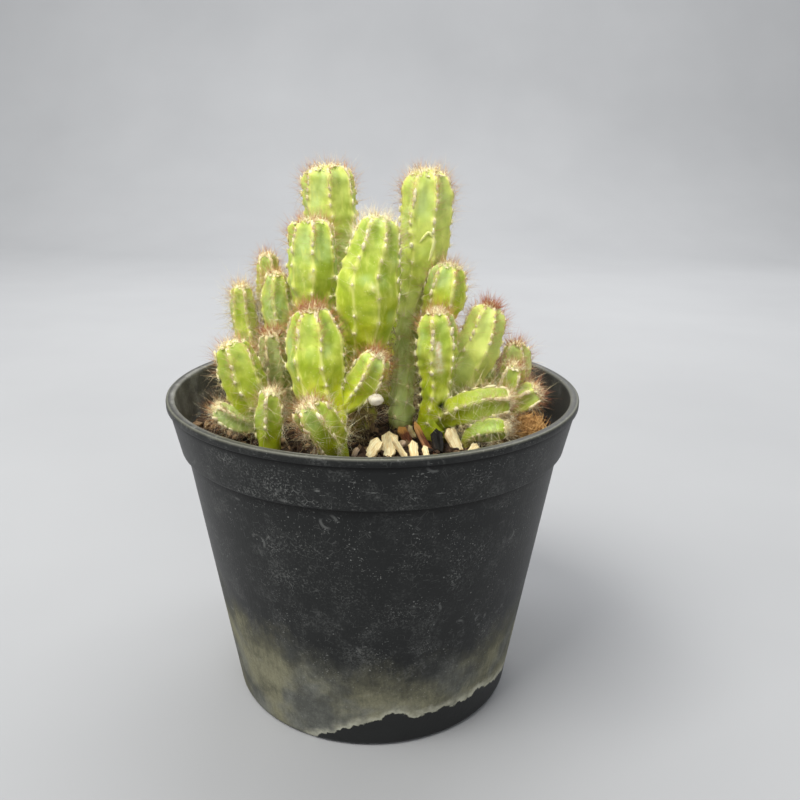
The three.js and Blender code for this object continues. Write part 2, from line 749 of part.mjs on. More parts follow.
const cactus = new THREE.Group();
cactus.add(makePot());
cactus.add(makeSoil());
cactus.add(...makeStems());
cactus.add(...CHIPS.map(makeChip));
cactus.add(makePerlite());
cactus.add(makeFibreClump());

export default cactus;
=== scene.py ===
"""Dresses the potted Peruvian apple cactus: skin, wool and spines on each stem, the potting mix with
its chips, and the dusty black pot. Sizes below are millimetres in the frame of the CAD part."""

import math

import bmesh
import bpy
import numpy as np
from mathutils import Matrix, Vector


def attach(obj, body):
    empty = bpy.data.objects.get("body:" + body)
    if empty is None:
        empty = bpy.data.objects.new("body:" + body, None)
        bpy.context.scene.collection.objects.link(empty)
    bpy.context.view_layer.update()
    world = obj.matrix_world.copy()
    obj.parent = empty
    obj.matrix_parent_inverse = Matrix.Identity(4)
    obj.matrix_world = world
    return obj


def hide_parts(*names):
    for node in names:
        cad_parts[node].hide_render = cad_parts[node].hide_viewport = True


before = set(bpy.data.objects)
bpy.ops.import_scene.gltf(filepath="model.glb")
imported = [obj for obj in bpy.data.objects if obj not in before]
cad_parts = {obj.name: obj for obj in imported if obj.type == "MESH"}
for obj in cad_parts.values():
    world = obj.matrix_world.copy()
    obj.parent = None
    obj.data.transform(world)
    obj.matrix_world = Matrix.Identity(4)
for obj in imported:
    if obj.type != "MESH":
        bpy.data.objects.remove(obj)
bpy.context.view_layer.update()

MM = 0.001
BODY = "root"

# Pot and soil, as in the CAD part
RIM_RADIUS = 55.0
POT_HEIGHT = 86.0
BASE_RADIUS = 39.4
BASE_ROUNDING = 1.6
WALL = 1.2
LIP_HEIGHT = 2.0
LIP_WIDTH = 2.3
COLLAR_TOP_RADIUS = 54.3
COLLAR_BOTTOM = 73.0
COLLAR_RADIUS = 52.0
NECK_RADIUS = 50.5
DRAIN_HOLES = 6
DRAIN_RADIUS = 4.0
DRAIN_CIRCLE = 24.0
SOIL_LEVEL = 74.5
SOIL_MOUND = 2.6
SOIL_LUMP = 0.55
GAP = 0.3

# Stems, as in the CAD part
FOOT_DEPTH = 68.0
FOOT_ROUND_UP_TO = 80.0
CROWN_LENGTH = 0.85
BLUNT_CROWN_LENGTH = 0.55
CROWN_POWER = 2.2
GROOVE_DEPTH = 0.05
AREOLE_RISE = 0.62
AREOLE_SPREAD = 0.85
PATH_POINTS = 600
FRONT = np.array([0, -1.0, 0])

# Columns behind this y have a coarser skin and fewer spines: step down the column in millimetres, and
# points from one rib to the next
BACK_FROM_Y = 16
FRONT_SKIN = (0.72, 10)
BACK_SKIN = (1.1, 8)

# Thin columns have smaller gaps between their areoles: the radius from which a column counts as
# large, a large and a thin column's gap as a share of its radius, and the least and largest gap
LARGE_RADIUS = 4.5
LARGE_GAP_SHARE = 0.72
THIN_GAP_SHARE = 0.58
AREOLE_GAPS = (1.7, 5.2)

# How much further each stem that names no turn is turned than the one before it in the table, and
# each side stem than the one before it
STEM_TURN = 0.35
SIDE_TURN = 0.2

# Heights between which these fade: the brown foot of every stem and of stem_centre, the grey trunk
# of stem_tall_right, and the painted shade, a deeper green, next to the soil
BROWN_FOOT = (76.5, 80)
CENTRE_FOOT = (84, 91)
GREY_TRUNK = (100, 118)
SOIL_SHADE_HEIGHTS = (80, 93)

# Camera: 36 mm lens on a 36 mm sensor, as far and as high as the photo was taken from
CAMERA_DISTANCE = 220.0
CAMERA_PITCH = math.radians(17.56)
CAMERA_ROLL = math.radians(0.7)
CAMERA_TARGET = (7.2, 0.0, 81.7)

# Each column runs from its foot to its crown, as (x, y, z, radius). The first column of a stem is
# rooted in the soil, and the others grow out of it. turn is the angle of its first rib from the
# front, rust is how red-brown the spines of the crown are, and fuzz is how high the long hairs go.
# The lists hold one number for each column: old is how grey its skin is, tone how pale (or, below 0,
# how deep) its green is, partly its own colour and partly painted light and shade for how brightly it
# is lit, spiny and hairy how thickly its spines and pale hairs stand, tuft how many spines stand on
# its crown, woolly how much white wool, and cap how far the wool and the tuft spread over the crown.
STEMS = {
    "stem_tall_left": dict(ribs=7, turn=0.09, rust=0.6, blunt=True, tone=[0.2], tuft=[150], woolly=[3],
        columns=[
        [(-7, 12, 68, 4.6), (-7, 12, 79, 4.8), (-8, 13.5, 98, 5.6), (-10.5, 14, 118, 5.2),
         (-12.3, 14.5, 131, 7.2), (-13.6, 15, 143, 6.5)],
    ]),
    "stem_mid_left": dict(ribs=7, turn=0.11, rust=0.7, blunt=True, tone=[0.06], tuft=[180], woolly=[3],
        columns=[
        [(-15, -3, 68, 4), (-15, -3, 79, 4), (-15, -1, 100, 4), (-16, 0, 109, 5.5), (-16, 0, 118, 6.5),
         (-16.3, 1, 130, 5)],
    ]),
    "stem_centre": dict(ribs=8, turn=0.37, rust=0.12, tone=[-0.1], tuft=[110], woolly=[2.2], columns=[
        [(-3, -11, 68, 3.6), (-3, -11, 79, 3.6), (-2.6, -13.5, 97, 4.3), (-1.5, -14, 105, 6.6),
         (-1.2, -14, 112.5, 8.1), (0.4, -13, 122.5, 6.6), (2, -12, 132, 4.2)],
    ]),
    "stem_front": dict(ribs=7, turn=0.385, rust=0.85, tone=[0, -0.25, 0.05], spiny=[1, 1.8, 1.2],
        hairy=[1.2, 1.8, 1.4], tuft=[300, 60, 130], woolly=[2.4, 2.8, 1.6], cap=[0.66, 0.9, 0.7],
        columns=[
        [(-8, -33, 68, 3.2), (-8, -33, 79, 3.2), (-9.4, -30, 87, 3.8), (-12, -27, 93, 6),
         (-12.6, -26, 99.5, 7), (-13.4, -25, 106.5, 5.8), (-13.9, -25, 112, 4)],
        [(-8, -33.5, 77, 1.8), (-9.9, -36, 85.5, 4.1), (-12.5, -37, 89.5, 3.9),
         (-14.2, -37.5, 92.6, 2.8)],
        [(-7.6, -29.5, 87.5, 1.8), (-4.4, -27, 91, 3.4), (-1, -26, 95.6, 4.1), (2.2, -26.2, 101.4, 3)],
    ]),
    "stem_tall_right": dict(ribs=7, turn=1.26, rust=0.5, fuzz=120, tone=[0.25, 0.04], hairy=[4, 1],
        tuft=[150, 90], woolly=[2.4, 1.6], columns=[
        [(7.5, -8, 68, 3.2), (7.5, -8, 79, 3.3), (7.9, -7, 88, 2.9), (8.8, -3.4, 102, 2.8),
         (10.2, -1.6, 111, 3.2), (11.9, -0.4, 117, 5), (13, 0, 123, 6.2), (13.5, 0, 133, 6.5),
         (13.5, 0, 142.8, 5.2)],
        [(9.8, -3.4, 100.5, 1.6), (14.5, -6, 104.5, 2.8), (17.4, -7, 109.5, 4.6), (18.5, -7, 113.5, 5),
         (19.1, -7, 120.2, 3.2)],
    ]),
    "stem_mid_right": dict(ribs=6, rust=0.8, tone=[0, -0.5], spiny=[1, 1.9], hairy=[1.3, 3.2],
        tuft=[90, 60], woolly=[3.4, 3.2], cap=[0.7, 0.8], columns=[
        [(16.2, -15, 68, 4), (16.2, -15, 80, 4.3), (16.6, -15.5, 91, 3.8), (16.3, -16, 100, 5.2),
         (16, -16, 110, 3.4)],
        [(16.5, -16, 80, 1.8), (20.5, -19, 84.2, 3.5), (25.5, -20.5, 86.6, 3.8), (30, -20.5, 87.9, 3.5),
         (34.8, -20.5, 88.5, 2.5)],
    ]),
    "stem_lean_right": dict(ribs=7, rust=0.95, tone=[0.4], tuft=[210], woolly=[2.4], cap=[0.52], columns=[
        [(21.5, -5.5, 68, 3.5), (21.5, -5.5, 79, 3.6), (23.4, -6.5, 89, 4.9), (27, -7, 98, 5.9),
         (30.3, -7, 109.6, 3.6)],
    ]),
    "stem_low_right": dict(ribs=5, rust=0.3, spiny=[1.4], hairy=[1.8], woolly=[1.8], cap=[0.7], columns=[
        [(24.2, -21.2, 68, 1.7), (24.2, -21.2, 78, 1.7), (25.4, -22.4, 80.2, 2), (28.6, -24.6, 82, 2.7),
         (33.4, -26.5, 83, 2.1)],
    ]),
    "stem_edge_right": dict(ribs=5, rust=0.95, old=[0.35, 0, 0], tone=[0.1, 0.15, 0.15],
        spiny=[2, 1.2, 1.2], hairy=[1.6, 1.3, 1.3], tuft=[90, 50, 50], woolly=[1.6, 3, 2], columns=[
        [(35, -2, 68, 2.8), (35, -2, 79, 2.9), (37, 1.5, 85, 3.2), (38.8, 2.8, 91, 3.7),
         (38.6, 3.6, 97.4, 2.6)],
        [(35, -3, 79.5, 1.6), (34.8, -6, 85.5, 2.7), (36, -7.6, 90, 3.2), (37, -8.2, 94.6, 2.6)],
        [(35.6, -3, 78.5, 1.6), (37, -7, 82.4, 2.5), (40, -9, 85.6, 3.2), (43.4, -9.8, 88, 2.5)],
    ]),
    "stem_lean_left": dict(ribs=6, rust=0.6, old=[0, 0.6], tone=[-0.35, -0.1], spiny=[1.2, 1.5],
        hairy=[1.1, 1.4], woolly=[1.8, 3], columns=[
        [(-27, -16, 68, 3.3), (-27, -16, 78.5, 3.5), (-30.2, -16, 86, 4.9), (-33.2, -15, 93.6, 5.3),
         (-35.8, -14, 101, 3.6)],
        [(-28.5, -16.5, 79, 1.6), (-32, -18.5, 80.6, 2.4), (-35.5, -19.5, 82.6, 2.8),
         (-39.2, -20, 85.4, 1.9)],
    ]),
    "stem_small_left": dict(ribs=5, rust=0.5, tone=[-0.15], hairy=[1.3], woolly=[2.2], columns=[
        [(-24.6, -26, 68, 2.8), (-24.6, -26, 78, 2.8), (-24.2, -26, 84.5, 3.3), (-23.6, -26, 92, 2.3)],
    ]),
    "stem_grey_left": dict(ribs=6, rust=0.9, fuzz=124, old=[0.85], tone=[-0.5], hairy=[1.8], spiny=[1.8],
        tuft=[220], woolly=[3], columns=[
        [(-25, -5.5, 68, 3.2), (-25, -5.5, 79, 3.2), (-25.9, -6, 93, 3.5), (-26.6, -6, 101.8, 2.7)],
    ]),
    "stem_left_back": dict(ribs=6, rust=0.7, fuzz=124, spiny=[1.4, 1.2], hairy=[1.8, 1.5], tuft=[80, 60],
        woolly=[1.8, 1.8], columns=[
        [(-24, 7, 68, 3.6), (-24, 7, 79, 3.6), (-26.2, 6.5, 95, 3.9), (-26.7, 6, 105, 4.1),
         (-26.6, 6, 115.5, 2.6)],
        [(-26.2, 7.5, 96, 1.8), (-29.4, 11, 104, 2.8), (-29.8, 12, 113.5, 2.9), (-29.9, 12, 119.6, 2.1)],
    ]),
    "stem_left_edge": dict(ribs=6, rust=0.5, fuzz=124, spiny=[1.6], hairy=[2.2], tuft=[70], woolly=[2],
        columns=[
        [(-33, 5, 68, 3.1), (-33, 5, 79, 3.2), (-34.4, 7, 92, 3.6), (-36.2, 8, 103.5, 3.3),
         (-36.7, 8, 111.6, 2.3)],
    ]),
    "stem_back_centre": dict(ribs=7, rust=0.6, columns=[
        [(5.5, 14, 68, 4.4), (5.5, 14, 79, 4.6), (5.5, 15.5, 95, 5.2), (5, 17, 108, 5.8),
         (4.5, 17.5, 119, 4)],
    ]),
    "stem_back_left": dict(ribs=7, rust=0.5, columns=[
        [(-18.5, 20, 68, 4.2), (-18.5, 20, 79, 4.4), (-20, 22, 92, 5.2), (-21.5, 24, 103, 5.4),
         (-22.5, 25, 112.5, 3.8)],
    ]),
    "stem_back_right": dict(ribs=6, rust=0.7, columns=[
        [(19.5, 11, 68, 3.8), (19.5, 11, 79, 4), (20.5, 12, 88, 4.8), (22, 13, 98.5, 3.6)],
    ]),
    "stem_back_edge": dict(ribs=5, rust=0.8, columns=[
        [(32.5, 10, 68, 2.9), (32.5, 10, 78.5, 3), (32, 11.5, 85, 3.5), (31, 13, 92.5, 2.6)],
    ]),
    "stem_rear_centre": dict(ribs=7, rust=0.5, columns=[
        [(-5, 28, 68, 4), (-5, 28, 79, 4.2), (-5.5, 30, 91, 5.2), (-6, 31, 105, 3.8)],
        [(-4, 29, 79, 1.8), (0.5, 32, 84.5, 3), (3, 33.5, 89, 3.2), (4.5, 34.5, 94, 2.4)],
    ]),
    "stem_rear_right": dict(ribs=6, rust=0.8, columns=[
        [(14.5, 25, 68, 3.6), (14.5, 25, 79, 3.8), (15.5, 27, 89, 4.7), (16.5, 28, 100, 3.5)],
    ]),
    "stem_rear_left": dict(ribs=5, rust=0.6, columns=[
        [(-21, 34, 68, 3), (-21, 34, 78.5, 3.2), (-23, 36, 85, 3.7), (-24.5, 37, 92, 2.6)],
    ]),
    "stem_rear_small": dict(ribs=5, rust=0.9, columns=[
        [(26, 22, 68, 2.7), (26, 22, 78.5, 2.9), (27.5, 24, 84, 3.3), (28.5, 25.5, 89.5, 2.4)],
    ]),
    "stem_far_left": dict(ribs=5, rust=0.5, columns=[
        [(-33, 19, 68, 3), (-33, 19, 78.5, 3.2), (-35, 21, 86, 3.8), (-36.5, 22, 93.5, 2.7)],
    ]),
}

# What a column looks like where its stem's table doesn't say
PLAIN_LOOK = dict(old=0, tone=0, spiny=1, hairy=1, tuft=40, woolly=1.2, cap=0.85)
PLAIN_FUZZ = 104

# Marks on the front of the skin, as the (x, z) points of a line, its half width, how far it
# stands out, and how corky (tan) or how black it is
MARKS = {
    "stem_mid_right": [
        dict(line=[(16.3, 102.4), (16.5, 99.6)], width=0.6, rise=0.25, cork=1.0),
        dict(line=[(16.5, 98.8), (16.9, 96)], width=0.95, rise=0.1, cork=0.6),
        dict(line=[(17.6, 86.1), (17.8, 86.1)], width=0.8, rise=-0.5, black=1.0),
    ],
    "stem_centre": [dict(line=[(0.5, 116.4), (0.6, 116.0)], width=0.6, rise=0.15, cork=0.4)],
    "stem_mid_left": [dict(line=[(-15.6, 116.6), (-15.6, 116.1)], width=0.9, rise=0.1, cork=0.3)],
}

# A rounded cream welt on the front of one stem, along (x, z) points
WELT_STEM = "stem_tall_right"
WELT_LINE = [(11.6, 125.1), (12.6, 126.4), (13.9, 127.7), (14.9, 126.7), (15.2, 125), (14.7, 122.9),
             (14.4, 121.4), (13.9, 120.4)]
WELT_WIDTH = 0.42

# Chips, as in the CAD part: low end, high end, width, thickness, roll in degrees
CHIPS = {
    "chip_cream_1": ((4.2, -28.6, 76), (5, -23.8, 81), 4.2, 1.2, 8),
    "chip_cream_2": ((9.2, -30.8, 76.2), (5.2, -28.9, 82.2), 1.9, 1.1, 0),
    "chip_cream_3": ((-0.6, -30.6, 76.6), (2.2, -27.4, 80.6), 3.4, 1.2, 10),
    "chip_cream_4": ((11.1, -31.8, 76.4), (10.4, -27.8, 80.2), 2.3, 1.1, 6),
    "chip_cream_5": ((22.1, -24.6, 76.4), (19.4, -21.7, 81.4), 3.6, 1.2, -10),
    "chip_cream_6": ((24.2, -26.6, 76.4), (26.4, -25.5, 78.7), 2.6, 1.1, 20),
    "chip_cream_7": ((-39.6, -5, 75), (-41, 1, 76), 3.2, 1.1, 10),
    "chip_cream_8": ((6.6, -23.2, 77.1), (8.4, -23, 78.5), 2, 1.5, 0),
    "chip_cream_9": ((11.2, -18.6, 77.4), (9.6, -17.6, 80.6), 2, 1, 10),
    "chip_cream_10": ((-4.1, -29.4, 76.4), (-3.1, -28, 78.4), 2, 1.5, 0),
    "chip_cream_11": ((14, -31.2, 76.4), (13.2, -28.4, 79.2), 1.6, 1.1, -15),
    "chip_dark_1": ((15.2, -26.6, 76), (11, -20, 82.2), 2.8, 1, 35),
    "chip_dark_2": ((9.9, -22, 76.8), (7.2, -18, 80.4), 2.6, 1, -20),
    "chip_dark_3": ((2, 41, 75), (9, 42.4, 75.9), 3, 1.1, 10),
    "chip_black": ((17, -25.8, 76.4), (16.4, -21.2, 80.8), 3, 1.7, 12),
}
CHIP_SEED = 30
PEBBLES = ("chip_cream_8", "chip_cream_10")
CHIP_OUTLINE_NEAR = [(-0.5, -0.2), (-0.3, -0.46), (0.36, -0.5), (0.5, 0.12)]
CHIP_OUTLINE_FAR = [(-0.5, -0.2), (-0.42, 0.36), (0.3, 0.5), (0.5, 0.12)]

# Middle and half lengths of the perlite grain and of the clump of fibre, and the share of the
# clump that is its core
PERLITE_AT = (1.4, -29.0, 90.9)
PERLITE_SIZE = (1.85, 1.25, 1.35)
FIBRE_AT = (40.0, -16.7, 79.0)
FIBRE_SIZE = (4.6, 4.6, 3.8)
FIBRE_CORE = 0.92

# Tan lumps on the soil: x, y and size
LARGE_CRUMBS = [(-37.0, -11.5, 1.7), (-35.6, -14.5, 1.0), (-38.2, -8.0, 1.1), (43.5, -16.5, 1.6),
                (41.8, -20.5, 1.2), (44.6, -12.5, 1.1)]

# Where dry fibres lie tangled between the stems: x, y, spread, lowest and highest z, how many, and
# how pale
LITTER = [(-1.8, -20.5, 2.5, 74, 88, 150, 0.8), (12.9, -6.8, 0.8, 78, 97, 200, 0.8),
          (4.6, -6.8, 0.8, 88, 106, 130, 1.2), (-18.5, -27.0, 2.6, 74, 81, 24, 0.4),
          (30.0, -14.0, 4.0, 74, 84, 60, 0.8), (-30.0, -4.0, 3.5, 74, 85, 50, 0.8),
          (-31.6, 6.6, 1.0, 86, 108, 330, 1.8), (10.0, 38.0, 5.0, 74, 80, 50, 0.8)]

# Upper and lower edge of the mineral band on the pot: angle from the front, and height
BAND_TOP = [(-180, 33), (-120, 36), (-60, 35), (-44, 31), (-30, 28), (-16, 25.5), (4, 23), (21, 22.5),
            (42, 23), (75, 31), (130, 34), (180, 33)]
BAND_FOOT = [(-180, -4), (-30, -3), (-14, 3.1), (-4, 6.8), (5, 8.3), (8, 10.6), (13, 10.4), (17, 8.7),
             (24, 8.9), (38, 8.7), (45, 9.4), (53, 8), (80, 5), (110, -3), (180, -4)]

# Scuffed patches on the pot: angle from the front, height, half width, half height, and strength
SCUFFS = [(-38, 81.5, 4.5, 2.0, 1.0), (-20, 77.5, 4.5, 4.0, 0.9), (-28, 78.0, 5.0, 3.0, 0.7),
          (-33, 73.8, 5.0, 1.0, 0.9), (-12, 74.0, 6.0, 0.9, 0.6), (-27, 59.0, 2.0, 3.2, 1.0),
          (-17, 60.5, 7.0, 3.0, 0.6), (-24, 51.0, 8.0, 3.5, 0.6), (-6, 49.0, 5.0, 5.0, 0.4),
          (16, 59.0, 4.0, 2.0, 0.7), (26, 52.0, 2.4, 4.0, 0.9), (33, 57.5, 3.0, 3.0, 0.7),
          (9, 42.0, 6.0, 3.0, 0.6), (28, 78.0, 4.0, 2.0, 0.7), (48, 80.0, 5.0, 2.0, 0.6),
          (10, 76.0, 3.5, 2.5, 0.6), (120, 78.0, 7.0, 3.0, 0.7), (175, 60.0, 9.0, 6.0, 0.6),
          (215, 76.0, 6.0, 3.0, 0.7)]

random = np.random.default_rng(20417)


# Meshes

def add_piece(name, points, faces, material, replaces=(), values=None, smooth=True):
    """A mesh object from points in millimetres, with the values of each point that its material
    reads."""
    mesh = bpy.data.meshes.new(name)
    corners = np.concatenate([group.ravel() for group in faces])
    sizes = np.concatenate([np.full(len(group), group.shape[1]) for group in faces])
    mesh.vertices.add(len(points))
    mesh.vertices.foreach_set("co", (points * MM).ravel())
    mesh.loops.add(len(corners))
    mesh.loops.foreach_set("vertex_index", corners)
    mesh.polygons.add(len(sizes))
    mesh.polygons.foreach_set("loop_start", np.concatenate([[0], np.cumsum(sizes)[:-1]]))
    mesh.polygons.foreach_set("loop_total", sizes)
    mesh.polygons.foreach_set("use_smooth", np.full(len(sizes), smooth))
    mesh.update(calc_edges=True)
    mesh.validate()
    for key, numbers in (values or {}).items():
        kind, field = ("FLOAT_VECTOR", "vector") if numbers.ndim == 2 else ("FLOAT", "value")
        mesh.attributes.new(key, kind, "POINT").data.foreach_set(field, numbers.ravel())
    piece = bpy.data.objects.new(name, mesh)
    bpy.context.scene.collection.objects.link(piece)
    mesh.materials.append(material)
    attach(piece, BODY)
    if replaces:
        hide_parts(*replaces)
    return piece


def grid_faces(rows, columns):
    """Quads between the points of a grid of rings."""
    row, column = np.meshgrid(np.arange(rows - 1), np.arange(columns), indexing="ij")
    after = (column + 1) % columns
    quads = [row * columns + column, (row + 1) * columns + column,
             (row + 1) * columns + after, row * columns + after]
    return np.stack(quads, -1).reshape(-1, 4)


def fan(centre, ring, flip=False):
    """Triangles from a centre point to a closed ring of points."""
    after = np.roll(ring, -1)
    if flip:
        ring, after = after, ring
    return np.stack([np.full(len(ring), centre), ring, after], -1)


def closed_faces(rows, sides, flip=False):
    """A grid of rings with both ends closed. Their two middle points come after the grid's."""
    count = rows * sides
    ring = np.arange(sides)
    quads = grid_faces(rows, sides)
    return [quads[:, ::-1] if flip else quads, fan(count, ring, flip),
            fan(count + 1, count - sides + ring, not flip)]


def copies(faces, size, count):
    """The faces of count meshes in a row, of size points each."""
    return (size * np.arange(count)[:, None, None] + faces).reshape(-1, faces.shape[-1])


def joined(meshes):
    """Several (points, faces, values) meshes as one."""
    points, faces, values = zip(*meshes)
    starts = np.cumsum([0] + [len(part) for part in points])
    moved = [group + start for groups, start in zip(faces, starts) for group in groups]
    return np.vstack(points), moved, {key: np.concatenate([part[key] for part in values])
                                      for key in values[0]}


def unit(vectors):
    """The same directions with a length of 1."""
    return vectors / np.linalg.norm(vectors, axis=-1, keepdims=True)


def smoothstep(value, low, high):
    """Rises smoothly from 0 to 1 while value goes from low to high."""
    share = np.clip((value - low) / (high - low), 0, 1)
    return share * share * (3 - 2 * share)


def mix(low, high, share):
    """Between low (share 0) and high (share 1)."""
    return low + (high - low) * share


def full_turn(count):
    """Evenly spaced angles round a circle."""
    return 2 * math.pi * np.arange(count) / count


def circles(first, second, sides):
    """Directions round a circle, for each pair of its two axes."""
    angle = full_turn(sides)[None, :, None]
    return first[:, None] * np.cos(angle) + second[:, None] * np.sin(angle)


def ripple(points, size, seed):
    """Smooth uneven relief from about -1 to 1: crossed waves about size millimetres long."""
    dice = np.random.default_rng(seed)
    total = np.zeros(len(points))
    for _ in range(6):
        aim = dice.normal(size=3)
        aim *= 2 * math.pi / (size * dice.uniform(0.7, 1.5)) / np.linalg.norm(aim)
        total += np.sin(points @ aim + dice.uniform(0, 2 * math.pi))
    return total / 3


def ball_mesh(level):
    """Points and triangles of a ball of radius 1."""
    build = bmesh.new()
    bmesh.ops.create_icosphere(build, subdivisions=level, radius=1.0)
    points = np.array([v.co for v in build.verts])
    faces = np.array([[v.index for v in f.verts] for f in build.faces])
    build.free()
    return points, faces


BALL_12 = ball_mesh(1)
BALL_42 = ball_mesh(2)
BALL_642 = ball_mesh(4)


# Materials

class Value:
    """A number or a colour in a node material, to reckon with."""

    def __init__(self, paint, socket):
        self.paint = paint
        self.socket = socket

    def __add__(self, other):
        return self.paint.math("ADD", self, other)

    def __sub__(self, other):
        return self.paint.math("SUBTRACT", self, other)

    def __mul__(self, other):
        return self.paint.math("MULTIPLY", self, other)

    def most(self, other):
        return self.paint.math("MAXIMUM", self, other)

    def ramp(self, low, high, to_low=0.0, to_high=1.0):
        """Runs smoothly from to_low to to_high while this value runs from low to high."""
        inputs = {"Value": self, "From Min": low, "From Max": high, "To Min": to_low, "To Max": to_high}
        return self.paint.node("ShaderNodeMapRange", "Result", inputs, interpolation_type="SMOOTHSTEP")


class Paint:
    """A short way to build a node material, laid out in the object's own coordinates."""

    def __init__(self, name):
        self.material = bpy.data.materials.new(name)
        self.material.use_nodes = True
        self.nodes = self.material.node_tree.nodes
        self.links = self.material.node_tree.links
        self.place = self.node("ShaderNodeTexCoord", "Object")

    def node(self, kind, output, inputs=None, **settings):
        """Adds a node and returns one of its outputs."""
        made = self.nodes.new(kind)
        for key, value in settings.items():
            setattr(made, key, value)
        for key, value in (inputs or {}).items():
            self.give(made.inputs[key], value)
        return Value(self, made.outputs[output])

    def give(self, socket, value):
        if isinstance(value, Value):
            self.links.new(value.socket, socket)
        elif socket.type == "RGBA":
            socket.default_value = (*value, 1)
        else:
            socket.default_value = value

    def read(self, name, output="Fac"):
        """A value that the mesh keeps for each of its points."""
        return self.node("ShaderNodeAttribute", output, attribute_name=name)

    def noise(self, scale, detail=3.0, rough=0.55, stretch=None, over=None):
        vector = over or self.place
        if stretch:
            vector = self.node("ShaderNodeMapping", 0, {"Vector": vector, "Scale": stretch})
        return self.node("ShaderNodeTexNoise", "Fac", {"Vector": vector, "Scale": scale,
                                                       "Detail": detail, "Roughness": rough})

    def dots(self, scale, feature="F1"):
        """Distance from the nearest of many scattered points, or from the edge between two."""
        return self.node("ShaderNodeTexVoronoi", "Distance", {"Vector": self.place, "Scale": scale},
                         feature=feature)

    def math(self, kind, first, second):
        return self.node("ShaderNodeMath", 0, {0: first, 1: second}, operation=kind)

    def blend(self, share, first, second):
        return self.node("ShaderNodeMix", 2, {0: share, 6: first, 7: second}, data_type="RGBA")

    def coats(self, colour, coats):
        """Lays coats of colour over one another, each by its own share."""
        for share, coat in coats:
            colour = self.blend(share, colour, coat)
        return colour

    def bump(self, height, distance, strength, under=None):
        inputs = {"Height": height, "Distance": distance, "Strength": strength}
        if under:
            inputs["Normal"] = under
        return self.node("ShaderNodeBump", 0, inputs)

    def finish(self, colour, rough, shine, relief=None, **more):
        """Sets the shader's own inputs and returns the material."""
        inputs = {"Base Color": colour, "Roughness": rough, "Specular IOR Level": shine}
        if relief:
            inputs["Normal"] = relief
        inputs.update({key.replace("_", " "): value for key, value in more.items()})
        for key, value in inputs.items():
            self.give(self.nodes["Principled BSDF"].inputs[key], value)
        return self.material


def skin_paint():
    """Waxy cactus skin: yellow-green, with painted highlights on the crests, painted shade in the
    grooves and a bluish bloom high up.
    """
    paint = Paint("cactus_skin")
    upright = (1.0, 1.0, 0.3)
    crest = paint.read("crest")
    height = paint.read("height")
    tone = paint.read("tone")
    patches = paint.noise(170).ramp(0.36, 0.66)
    blotches = paint.noise(430, 4).ramp(0.44, 0.66)
    streaks = paint.noise(620, stretch=upright).ramp(0.53, 0.68)
    bloom = paint.noise(95, 2).ramp(0.48, 0.66) * height.ramp(0.35, 0.8)
    flecks = paint.dots(2400).ramp(0.17, 0.05)
    specks = paint.dots(1150).ramp(0.22, 0.10) * paint.noise(260, 2).ramp(0.45, 0.60)
    grainy = paint.noise(1100, 4).ramp(0.35, 0.65)
    low = paint.blend(patches, (0.37, 0.45, 0.001), (0.57, 0.61, 0.006))
    high = paint.blend(patches, (0.40, 0.53, 0.060), (0.56, 0.66, 0.13))
    aged = paint.coats(paint.blend(patches, (0.42, 0.54, 0.22), (0.80, 0.88, 0.46)), [
        (streaks * 0.6, (0.80, 0.86, 0.52)),
        (blotches * 0.45, (0.46, 0.52, 0.12)),
    ])
    colour = paint.coats(paint.blend(height.ramp(0.42, 0.98), low, high), [
        (bloom * 0.6, (0.46, 0.62, 0.26)),
        (blotches * 0.45, (0.29, 0.41, 0.012)),
        (streaks * 0.45, (0.70, 0.76, 0.16)),
        # Painted highlights along the rib crests and over the areole bumps
        (crest.ramp(0.45, 0.95) * 0.25, (0.62, 0.64, 0.07)),
        (crest.ramp(0.78, 0.97) * 0.5, (0.82, 0.82, 0.26)),
        # Painted shade in the grooves between the crown's ribs
        (paint.read("groove") * 0.5, (0.12, 0.22, 0.02)),
        (paint.read("old"), aged),
        # Each column's tone: paler or deeper green, partly its own colour and partly painted light and
        # shade
        (tone.most(0.0), (0.80, 0.86, 0.30)),
        ((tone * -1.0).most(0.0), (0.20, 0.25, 0.01)),
        # Painted shade near the soil
        (paint.read("ground") * 0.4, (0.20, 0.29, 0.004)),
        (flecks * 0.4, (0.74, 0.78, 0.34)),
        (specks * 0.5, (0.78, 0.80, 0.36)),
        (paint.read("bark"), paint.blend(grainy, (0.10, 0.055, 0.022), (0.40, 0.28, 0.12))),
        (paint.read("cork"), paint.blend(grainy, (0.84, 0.62, 0.34), (1.0, 0.94, 0.68))),
        (paint.read("black"), (0.012, 0.016, 0.008)),
    ])
    relief = paint.bump(paint.noise(1500, 4), 0.0002, 0.3)
    relief = paint.bump(paint.noise(420, stretch=upright), 0.0006, 0.3, under=relief)
    return paint.finish(colour, paint.noise(500).ramp(0.3, 0.7, 0.44, 0.62), 0.24, relief,
                        Subsurface_Weight=0.08, Subsurface_Radius=(0.0016, 0.0018, 0.0003),
                        Subsurface_Scale=1.0)


def spine_paint():
    """Spines and hairs: white and straw to red-brown, with darker tips."""
    paint = Paint("spine")
    rust = paint.read("tint")
    mottle = paint.noise(420, 2).ramp(0.42, 0.6)
    dark_tip = paint.read("tip").ramp(0.35, 1.0) * rust.ramp(0.25, 0.9, 0.05, 0.7)
    pale = paint.blend(paint.noise(300, 2).ramp(0.4, 0.6), (0.90, 0.86, 0.62), (0.80, 0.70, 0.38))
    colour = paint.coats(pale, [
        (rust.ramp(0.05, 0.55), paint.blend(mottle, (0.42, 0.21, 0.08), (0.60, 0.36, 0.14))),
        (rust.ramp(0.55, 0.95), paint.blend(mottle, (0.42, 0.09, 0.03), (0.56, 0.24, 0.08))),
        (dark_tip, (0.11, 0.045, 0.04)),
    ])
    return paint.finish(colour, 0.45, 0.35)


